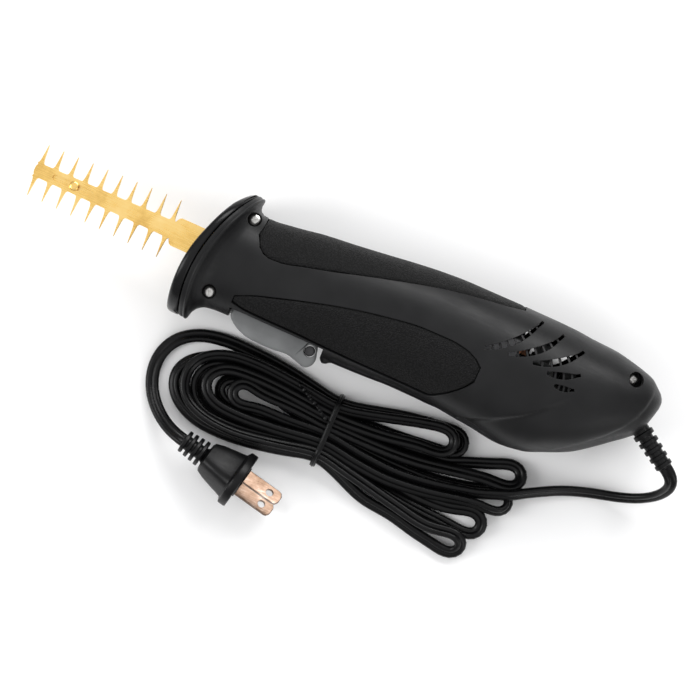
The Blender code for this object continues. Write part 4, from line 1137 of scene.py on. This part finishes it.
def build_screws():
    """Pan-head screws with a cross recess."""
    for name, (x, y, seat, _) in SCREWS.items():
        base = seat + GAP
        profile = ((SCREW_TIP, 0.4), (SCREW_TIP + 1.2, SCREW_SHANK), (base, SCREW_SHANK),
                   (base, SCREW_HEAD - 0.15), (base + 0.15, SCREW_HEAD), (base + 1.2, SCREW_HEAD),
                   (base + 1.5, SCREW_HEAD * 0.95), (base + 1.72, SCREW_HEAD * 0.82),
                   (base + 1.86, SCREW_HEAD * 0.5), (base + HEAD_TALL, SCREW_HEAD * 0.2))
        screw = new_mesh(name + "_piece", *turned(profile, (x, y, PART_Z), "z", 36))
        top = base + HEAD_TALL
        long, half = CROSS_HALF
        bar = block(-long, long, -half, half, PART_Z + top - 1.0, PART_Z + top + 1.0)
        arms = []
        for turn in (HEAD_TURN, HEAD_TURN + math.pi / 2):
            spin = Matrix.Translation((x, y, 0)) @ Matrix.Rotation(turn, 4, "Z")
            arms.append(new_mesh("cut_arm", *placed(bar, spin)))
        cone = turned(((top - 1.3, 0.2), (top + 0.4, 0.72)), (x, y, PART_Z), "z", 12)
        arms.append(new_mesh("cut_arm", *cone))
        cut(screw, arms)
        drop(*arms)
        finish_piece(screw, STEEL, "handle", (name,), 30)


build_screws()


# ---------------------------------------------------------------- blades

BLADE_TIP = -71.0
TOOTH_COUNT = 10
TOOTH_PITCH = 6.4
FIRST_TOOTH = -69.4
TOOTH_ROOT = 2.95            # half width of the spine at the first tooth
TOOTH_TALL = 11.0            # reach of the first tooth from the middle
# half width and share of the height, from a tooth's foot to its tip
TOOTH_FLANK = ((1.5, 0.0), (1.12, 0.035), (0.86, 0.1), (0.66, 0.24), (0.44, 0.52), (0.1, 1.0))
BLADE_THICK = 1.0
SHANK_HALF = 6.0
TANG_HALF = 4.4
TANG_END = 38.0
TANG_PIN_X = 33.0
SLOT = (-63.0, -45.0, 1.2)
RIVET_X = -53.5


def blade_outline():
    """Needle teeth that flare into a narrow spine through small fillets."""
    upper = [(BLADE_TIP, 0.9), (BLADE_TIP + 0.2, 1.7), (BLADE_TIP + 0.5, 2.2)]
    for k in range(TOOTH_COUNT):
        x = FIRST_TOOTH + TOOTH_PITCH * k
        share = k / (TOOTH_COUNT - 1)
        root = TOOTH_ROOT + 0.6 * share
        tall = TOOTH_TALL + 1.5 * share - root
        upper.extend((x - w, root + tall * h) for w, h in TOOTH_FLANK)
        upper.extend((x + w, root + tall * h) for w, h in reversed(TOOTH_FLANK))
    upper.extend(((-9.8, 4.6), (-9.3, SHANK_HALF - 0.5), (-8.4, SHANK_HALF), (22.0, SHANK_HALF)))
    upper.extend(((24.5, TANG_HALF), (TANG_END - 1.5, TANG_HALF), (TANG_END, TANG_HALF - 1.5)))
    return upper + [(x, -y) for x, y in reversed(upper)]


def inset_outline(outline, amount):
    """Each point of a closed outline moved inwards along its mitre, by a limited amount."""
    points = np.array(outline)
    before = np.roll(points, 1, axis=0)
    after = np.roll(points, -1, axis=0)
    a = points - before
    b = after - points
    a /= np.linalg.norm(a, axis=1, keepdims=True)
    b /= np.linalg.norm(b, axis=1, keepdims=True)
    normal = np.stack([a[:, 1] + b[:, 1], -(a[:, 0] + b[:, 0])], axis=1)
    normal /= np.linalg.norm(normal, axis=1, keepdims=True) + 1e-9
    cosine = np.clip((normal * np.stack([a[:, 1], -a[:, 0]], axis=1)).sum(1), 0.45, 1.0)
    moved = points + normal * (amount / cosine)[:, None]
    area = np.sum(points[:, 0] * after[:, 1] - after[:, 0] * points[:, 1])
    if area > 0:
        moved = points - normal * (amount / cosine)[:, None]
    return [tuple(p) for p in moved]


def blade_shape(low, high):
    """A flat blade whose faces end in a narrow ground bevel."""
    outline = blade_outline()
    inner = inset_outline(outline, 0.09)
    levels = ((low, inner), (low + 0.12, outline), (high - 0.2, outline), (high, inner))
    return rings([[(x, y, z) for x, y in line] for z, line in levels])


def slot_outline():
    """A slot with round ends: its front, rear and half width are given."""
    front, rear, half = SLOT
    front += half
    rear -= half
    turns = [math.pi * i / 12 for i in range(13)]
    head = [(front - half * math.sin(a), half * math.cos(a)) for a in turns]
    tail = [(rear + half * math.sin(a), -half * math.cos(a)) for a in turns]
    return head + tail


def build_blades():
    """The two blades and the stud that joins them through the upper one's slot."""
    pin = new_mesh("cut_pin", *rod(1.5, -6.0, 6.0, (TANG_PIN_X, 0.0, PART_Z), "z", 24))
    slot = new_mesh("cut_slot", *prism(slot_outline(), PART_Z - 5, PART_Z + 5))
    eye = new_mesh("cut_eye", *rod(1.2, -6.0, 6.0, (RIVET_X, 0.0, PART_Z), "z", 24))
    low = PART_Z + HALF_GAP
    upper = new_mesh("upper_blade_piece", *blade_shape(low, low + BLADE_THICK))
    cut(upper, [pin, slot])
    finish_piece(upper, GOLD, "upper_blade_set", ("upper_blade",), 20)
    lower = new_mesh("lower_blade_piece", *blade_shape(PART_Z - HALF_GAP - BLADE_THICK,
                                                       PART_Z - HALF_GAP))
    cut(lower, [pin, eye])
    finish_piece(lower, GOLD, "lower_blade_set", ("lower_blade",), 20)
    drop(pin, slot, eye)
    face = HALF_GAP + BLADE_THICK + GAP
    profile = ((-face - 0.7, 1.5), (-face - 0.4, 1.85), (-face, 1.95), (-face, 0.9), (face, 0.9),
               (face, 1.9), (face + 0.1, 1.95), (face + 0.35, 1.9), (face + 0.55, 1.66),
               (face + 0.68, 1.2), (face + 0.72, 0.5))
    rivet = new_mesh("blade_rivet_piece", *turned(profile, (RIVET_X, 0.0, PART_Z), "z", 36))
    finish_piece(rivet, GOLD, "lower_blade_set", ("blade_rivet",), 40)


build_blades()


# ---------------------------------------------------------------- trigger

TRIGGER_OUTLINE = (
    (24.9, -17.2), (25.5, -14.6), (27.6, -13.2), (58.6, -14.2), (60.8, -16.8), (62.4, -18.6),
    (63.2, -21.4), (63.9, -24.4), (63.0, -27.2), (60.6, -28.6), (57.6, -27.9), (52.3, -26.7),
    (46.0, -27.3), (39.0, -27.3), (34.5, -26.9), (30.2, -25.4), (27.2, -23.5), (25.5, -21.4),
)


def closed_smooth(outline, count=8):
    """A closed Catmull-Rom loop through the points."""
    points = [Vector(p) for p in outline]
    size = len(points)
    loop = []
    for k in range(size):
        p0, p1, p2, p3 = (points[(k + d) % size] for d in (-1, 0, 1, 2))
        for i in range(count):
            t = i / count
            loop.append(tuple(0.5 * (2 * p1 + (p2 - p0) * t + (2 * p0 - 5 * p1 + 4 * p2 - p3) * t * t
                                     + (3 * p1 - p0 - 3 * p2 + p3) * t ** 3)))
    return loop


def rounded_prism(outline, low, high, radius, steps=5):
    """An outline extruded along Z with rounded rims."""
    turns = [math.pi / 2 * i / steps for i in range(steps + 1)]
    levels = [(low + radius * (1 - math.cos(a)), radius * (1 - math.sin(a))) for a in turns]
    levels += [(high - radius + radius * math.sin(a), radius * (1 - math.cos(a))) for a in turns]
    loops = []
    for z, inset in levels:
        ring = inset_outline(outline, inset) if inset > 1e-6 else outline
        loops.append([(x, y, z) for x, y in ring])
    return rings(loops)


TRIGGER_ROUND = 1.3
SPRING_POCKET = (2.95, -17.5, -10.0, (48.6, 0.0, PART_Z))


def build_trigger():
    """The trigger with its bores and the spring's pocket, and the lock button."""
    outline = closed_smooth(TRIGGER_OUTLINE, 4)
    trigger = new_mesh("trigger_piece", *rounded_prism(outline, PART_Z - TRIGGER_HALF,
                                                       PART_Z + TRIGGER_HALF,
                                                       TRIGGER_ROUND))
    bore = new_mesh("cut_bore", *rod(PIN_RADIUS + GAP, -14.0, 14.0, (*TRIGGER_PIVOT, PART_Z),
                                     "z", 24))
    lock_bore = new_mesh("cut_lock", *rod(LOCK_RADIUS + GAP, -14.0, 14.0, (*LOCK_CENTRE, PART_Z),
                                          "z", 32))
    pocket = new_mesh("cut_pocket", *rod(*SPRING_POCKET, "y", 24))
    cut(trigger, [bore, lock_bore, pocket])
    drop(bore, lock_bore, pocket)
    finish_piece(trigger, GREY, "trigger_lever", ("trigger",), 36)
    profile = ((-8.8, 1.5), (-8.7, 1.8), (-8.3, LOCK_RADIUS), (7.5, LOCK_RADIUS), (7.85, 1.95),
               (8.0, 1.6), (7.95, 1.0), (7.85, 0.4))
    lock = new_mesh("lock_button_piece", *turned(profile, (*LOCK_CENTRE, PART_Z), "z", 36))
    finish_piece(lock, CARBON, "lock_bolt", ("lock_button",), 40)


build_trigger()


# ---------------------------------------------------------------- strain relief and plug

RELIEF_CORE = 3.0
RELIEF_PITCH = 3.6
RELIEF_RIBS = 4


def relief_shape():
    """A tapered sleeve: alternate ribs and slots along it."""
    profile = [(-6.0, RELIEF_HOLE), (0.8, RELIEF_HOLE), (0.9, 4.1), (1.2, 4.4), (2.6, 4.4),
               (2.95, 4.2), (3.05, RELIEF_CORE)]
    for k in range(RELIEF_RIBS):
        start = RELIEF_PITCH * (k + 1)
        radius = 4.2 - 0.18 * k
        profile.extend(((start, RELIEF_CORE), (start + 0.95, RELIEF_CORE),
                        (start + 1.02, radius - 0.3), (start + 1.25, radius),
                        (start + 2.7, radius), (start + 2.95, radius - 0.3),
                        (start + 3.02, RELIEF_CORE)))
    profile.extend(((17.4, RELIEF_CORE), (17.9, 2.8), (18.0, 2.4)))
    return placed(turned(profile, (0.0, 0.0, 0.0), "x", 40), relief_matrix())


def spine_shape():
    """The straight ribs along the sleeve's upper and lower face, which join its ribs."""
    shapes = []
    for side in (1, -1):
        loops = []
        for x, reach in ((2.4, 3.75), (17.2, 3.2)):
            low, high = sorted((side * 2.2, side * reach))
            loops.append([(x, -0.8, low), (x, 0.8, low), (x, 0.8, high), (x, -0.8, high)])
        shapes.append(placed(rings(loops), relief_matrix()))
    return shapes


relief = new_mesh("strain_relief_piece", *relief_shape())
spines = [new_mesh("cut_spine", *s) for s in spine_shape()]
cut(relief, spines, "UNION")
drop(*spines)
finish_piece(relief, CORD, "handle", ("strain_relief",), 40)

PLUG_FLANGE = (56.6, -82.0, 12.7)
PLUG_HEADING = math.radians(-11.5)
PLUG_ROLL = math.radians(60.0)
PLUG_LAND = (-1.0, 0.5, -4.8, 4.8, -5.2, 5.2)
PRONG_SPACING = 12.7
PRONG = (17.0, 6.35, 1.5)     # length, width, thickness
PRONG_BEVEL = 0.22
PRONG_EYE = (1.6, 5.2)        # radius, distance from the tip


def plug_matrix():
    turn = Matrix.Rotation(PLUG_HEADING, 4, "Z") @ Matrix.Rotation(PLUG_ROLL, 4, "X")
    return Matrix.Translation(PLUG_FLANGE) @ turn


BOOT_START = -29.0
BOOT_PITCH = 2.7
BOOT_RIBS = 4
# along the plug, half width, half thickness and squareness: grip, then flange
GRIP_STATIONS = (
    (-18.2, 3.6, 3.3, 0.8), (-18.0, 5.2, 5.2, 0.7), (-17.4, 6.0, 6.0, 0.6),
    (-14.0, 6.9, 7.0, 0.52), (-10.0, 7.6, 7.8, 0.5), (-6.0, 8.3, 8.6, 0.52),
    (-4.3, 8.9, 9.1, 0.56), (-3.8, 10.6, 10.6, 0.8), (-3.5, 11.9, 11.7, 0.92),
    (-3.0, 12.3, 12.1, 0.96), (-0.6, 12.3, 12.1, 0.96), (-0.2, 12.15, 11.95, 0.96),
    (0.0, 11.8, 11.6, 0.96),
)


def plug_shape(count=48):
    """Ribbed boot, faceted grip and thin round flange along the plug's own X."""
    stations = [(-29.5, 2.7, 1.9, 0.9), (-29.3, 3.0, 2.3, 0.9)]
    for k in range(BOOT_RIBS):
        x = BOOT_START + BOOT_PITCH * k
        wide = 4.9 + 0.25 * k
        core = (3.1, 2.9, 0.9)
        rim = (wide - 0.3, wide - 0.6, 0.85)
        top = (wide, wide - 0.3, 0.85)
        stations += [(x, *core), (x + 0.12, *rim), (x + 0.35, *top), (x + 1.45, *top),
                     (x + 1.7, *rim), (x + 1.8, *core)]
    stations.extend(GRIP_STATIONS)
    loops = []
    for x, wide, thick, square in stations:
        loop = []
        for i in range(count):
            a = math.tau * i / count
            loop.append((x, wide * power(math.cos(a), square), thick * power(math.sin(a), square)))
        loops.append(loop)
    return placed(rings(loops), plug_matrix())


def prong_shape(y):
    """A flat blade with a rounded tip and narrow bevels, y from the plug's axis."""
    length, width, thick = PRONG
    half = width / 2
    outline = [(GAP, -half), (length - 1.9, -half), (length - 0.9, -half + 0.35),
               (length - 0.15, -half + 1.5), (length, -half + 2.1), (length, half - 2.1),
               (length - 0.15, half - 1.5), (length - 0.9, half - 0.35), (length - 1.9, half),
               (GAP, half)]
    inner = inset_outline(outline, PRONG_BEVEL)
    near = y - thick / 2
    far = y + thick / 2
    levels = ((near, inner), (near + PRONG_BEVEL, outline), (far - PRONG_BEVEL, outline),
              (far, inner))
    shape = rings([[(x, v, w) for x, w in line] for v, line in levels])
    return placed(shape, plug_matrix())


def build_plug():
    """The plug's body with the raised flat between its prongs, and the two prongs."""
    plug = new_mesh("plug_piece", *plug_shape())
    land = new_mesh("cut_land", *placed(block(*PLUG_LAND), plug_matrix()))
    cut(plug, [land], "UNION")
    drop(land)
    finish_piece(plug, PLUG, "handle", ("plug_body",), 32)
    prongs = []
    radius, from_tip = PRONG_EYE
    for name, side in (("first_prong", 1), ("second_prong", -1)):
        y = side * PRONG_SPACING / 2
        prong = new_mesh(name + "_piece", *prong_shape(y))
        hole = rod(radius, y - 3, y + 3, (PRONG[0] - from_tip, 0.0, 0.0), "y", 32)
        eye = new_mesh("cut_eye", *placed(hole, plug_matrix()))
        cut(prong, [eye])
        drop(eye)
        finish_piece(prong, NICKEL, "handle", (name,), 30)
        prongs.append(prong)
    return plug, prongs


plug, prongs = build_plug()


# ---------------------------------------------------------------- twist tie

TIE_RING = (
    (80.0, -63.8, 2.4), (80.0, -60.0, 0.9), (80.0, -48.8, 0.9), (80.0, -37.6, 0.9),
    (80.0, -33.5, 2.6), (79.9, -33.1, 8.0), (79.8, -36.6, 12.6), (79.9, -44.8, 13.0),
    (80.1, -53.8, 12.7), (80.1, -59.5, 12.4), (80.0, -64.0, 7.6),
)
TIE_TAIL = (
    (80.0, -46.0, 12.4), (78.0, -44.6, 13.2), (73.0, -41.8, 12.4), (68.0, -39.2, 11.2),
    (64.5, -37.4, 10.4), (61.6, -35.9, 9.4),
)
TIE_PROFILE = (
    (-1.15, -0.12), (-1.1, 0.14), (-0.5, 0.2), (-0.3, 0.45), (0.3, 0.45), (0.5, 0.2),
    (1.1, 0.14), (1.15, -0.12), (0.0, -0.2),
)
TIE_STEP = 1.2
TAIL_STEP = 0.8
TAIL_TWIST = 0.9              # radians per millimetre
TAIL_NARROW = 0.75


def closed_ring(points, step):
    """A smooth closed line through the points, without its first point again at the end."""
    line = smooth_line([*points[-2:], *points, *points[:2]], step)
    first = np.array(points[0])
    start = int(np.argmin(np.linalg.norm(line[:20] - first, axis=1)))
    line = line[start:-1]
    gap = np.linalg.norm(line - first, axis=1)
    return line[:len(line) - 1 - int(np.argmin(gap[::-1][:20]))]


def tie_loops():
    """The flat strip's section round the bundle."""
    line = closed_ring(TIE_RING, TIE_STEP)
    ahead = np.roll(line, -1, axis=0) - np.roll(line, 1, axis=0)
    ahead /= np.linalg.norm(ahead, axis=1, keepdims=True)
    wide = np.array([1.0, 0.0, 0.0])
    loops = []
    for k, spot in enumerate(line):
        out = np.cross(ahead[k], wide)
        out /= np.linalg.norm(out)
        loops.append([spot + wide * u + out * v for u, v in TIE_PROFILE])
    return loops


def tail_loops():
    """The twisted end's section along its way to the upper left."""
    tail = smooth_line(TIE_TAIL, TAIL_STEP)
    ahead = np.gradient(tail, axis=0)
    ahead /= np.linalg.norm(ahead, axis=1, keepdims=True)
    loops = []
    for k, spot in enumerate(tail):
        side = np.cross(ahead[k], (0.0, 0.0, 1.0))
        side /= np.linalg.norm(side)
        up = np.cross(side, ahead[k])
        turn = TAIL_TWIST * k * TAIL_STEP
        wide = side * math.cos(turn) + up * math.sin(turn)
        out = up * math.cos(turn) - side * math.sin(turn)
        loops.append([spot + wide * u * TAIL_NARROW + out * v for u, v in TIE_PROFILE])
    return loops


def build_tie():
    shape = join(rings(tie_loops(), closed=True), rings(tail_loops()))
    tie = new_mesh("cord_tie_piece", *shape)
    return finish_piece(tie, CORD, "handle", ("cord_tie",), 50)


tie = build_tie()


# ---------------------------------------------------------------- inner parts keep their CAD shapes

INNER = {
    "trigger_pin": STEEL, "trigger_spring": STEEL, "stator_core": LAMINATE, "motor_shaft": STEEL,
    "armature_core": LAMINATE, "front_bearing": STEEL, "rear_bearing": STEEL, "worm": STEEL,
    "gear_axle": STEEL, "upper_field_coil": COPPER, "lower_field_coil": COPPER,
    "commutator": COPPER, "upper_brush_holder": BRASS, "lower_brush_holder": BRASS,
    "upper_brush": CARBON, "lower_brush": CARBON, "switch_body": CARBON, "gear_wheel": WHITE,
    "cooling_fan": GREY, "upper_driver": WHITE, "lower_driver": WHITE, "switch_plunger": WHITE,
    "gearbox_frame": BLACK, "rear_bearing_bracket": BLACK, "suppressor_capacitor": GREY,
}
for name, finish in INNER.items():
    node = NODES[name]
    for slot in node.material_slots:
        slot.material = finish


# ---------------------------------------------------------------- floor and light

FLOOR_HALF = 3.0


def build_floor():
    """A plain pale sheet under everything."""
    mesh = bpy.data.meshes.new("floor")
    corners = ((-1, -1), (1, -1), (1, 1), (-1, 1))
    mesh.from_pydata([(u * FLOOR_HALF, v * FLOOR_HALF, 0.0) for u, v in corners], [],
                     [(0, 1, 2, 3)])
    floor = bpy.data.objects.new("floor", mesh)
    bpy.context.scene.collection.objects.link(floor)
    paper, tree, surface = shader("floor_look", (0.9, 0.9, 0.9), 0.85, specular=0.2)
    tone = ramp(tree, noise(tree, coordinates(tree), 6.0, 2.0),
                ((0.3, (0.89, 0.89, 0.89)), (0.7, (0.92, 0.92, 0.92))))
    tree.links.new(tone, surface.inputs["Base Color"])
    mesh.materials.append(paper)


build_floor()

world = bpy.data.worlds.new("studio")
world.use_nodes = True
bpy.context.scene.world = world
bpy.context.scene.view_settings.view_transform = "Standard"
bpy.context.scene.view_settings.look = "None"


WORLD_STOPS = ((0.0, (0.3, 0.3, 0.3)), (0.5, (0.5, 0.5, 0.5)), (0.72, (0.6, 0.6, 0.61)),
               (0.9, (0.85, 0.85, 0.86)), (1.0, (1.0, 1.0, 1.0)))
WORLD_STRENGTH = 1.0


def studio_walls():
    """A bright ceiling over dimmer walls: flat metal shines and the sides fall off to black."""
    tree = world.node_tree
    back = tree.nodes["Background"]
    place = add(tree, "ShaderNodeTexCoord")
    split = add(tree, "ShaderNodeSeparateXYZ")
    tree.links.new(place.outputs["Generated"], split.inputs["Vector"])
    light = ramp(tree, split.outputs["Z"], WORLD_STOPS)
    tree.links.new(light, back.inputs["Color"])
    back.inputs["Strength"].default_value = WORLD_STRENGTH


studio_walls()


AIM = Vector((0.0, 0.0, 0.02))


def soft_light(name, place, size, watts):
    """A rectangular lamp turned towards the tool."""
    lamp = bpy.data.lights.new(name, "AREA")
    lamp.shape = "RECTANGLE"
    lamp.size, lamp.size_y = size
    lamp.energy = watts
    obj = bpy.data.objects.new(name, lamp)
    obj.location = place
    way = AIM - Vector(place)
    obj.rotation_euler = way.to_track_quat("-Z", "Y").to_euler()
    bpy.context.scene.collection.objects.link(obj)


soft_light("key_light", (0.1, 1.1, 0.9), (1.3, 0.6), 17.0)
soft_light("fill_light", (-1.1, -0.5, 0.9), (0.6, 0.9), 10.0)
soft_light("rim_light", (1.1, -0.6, 0.8), (0.5, 0.9), 3.0)
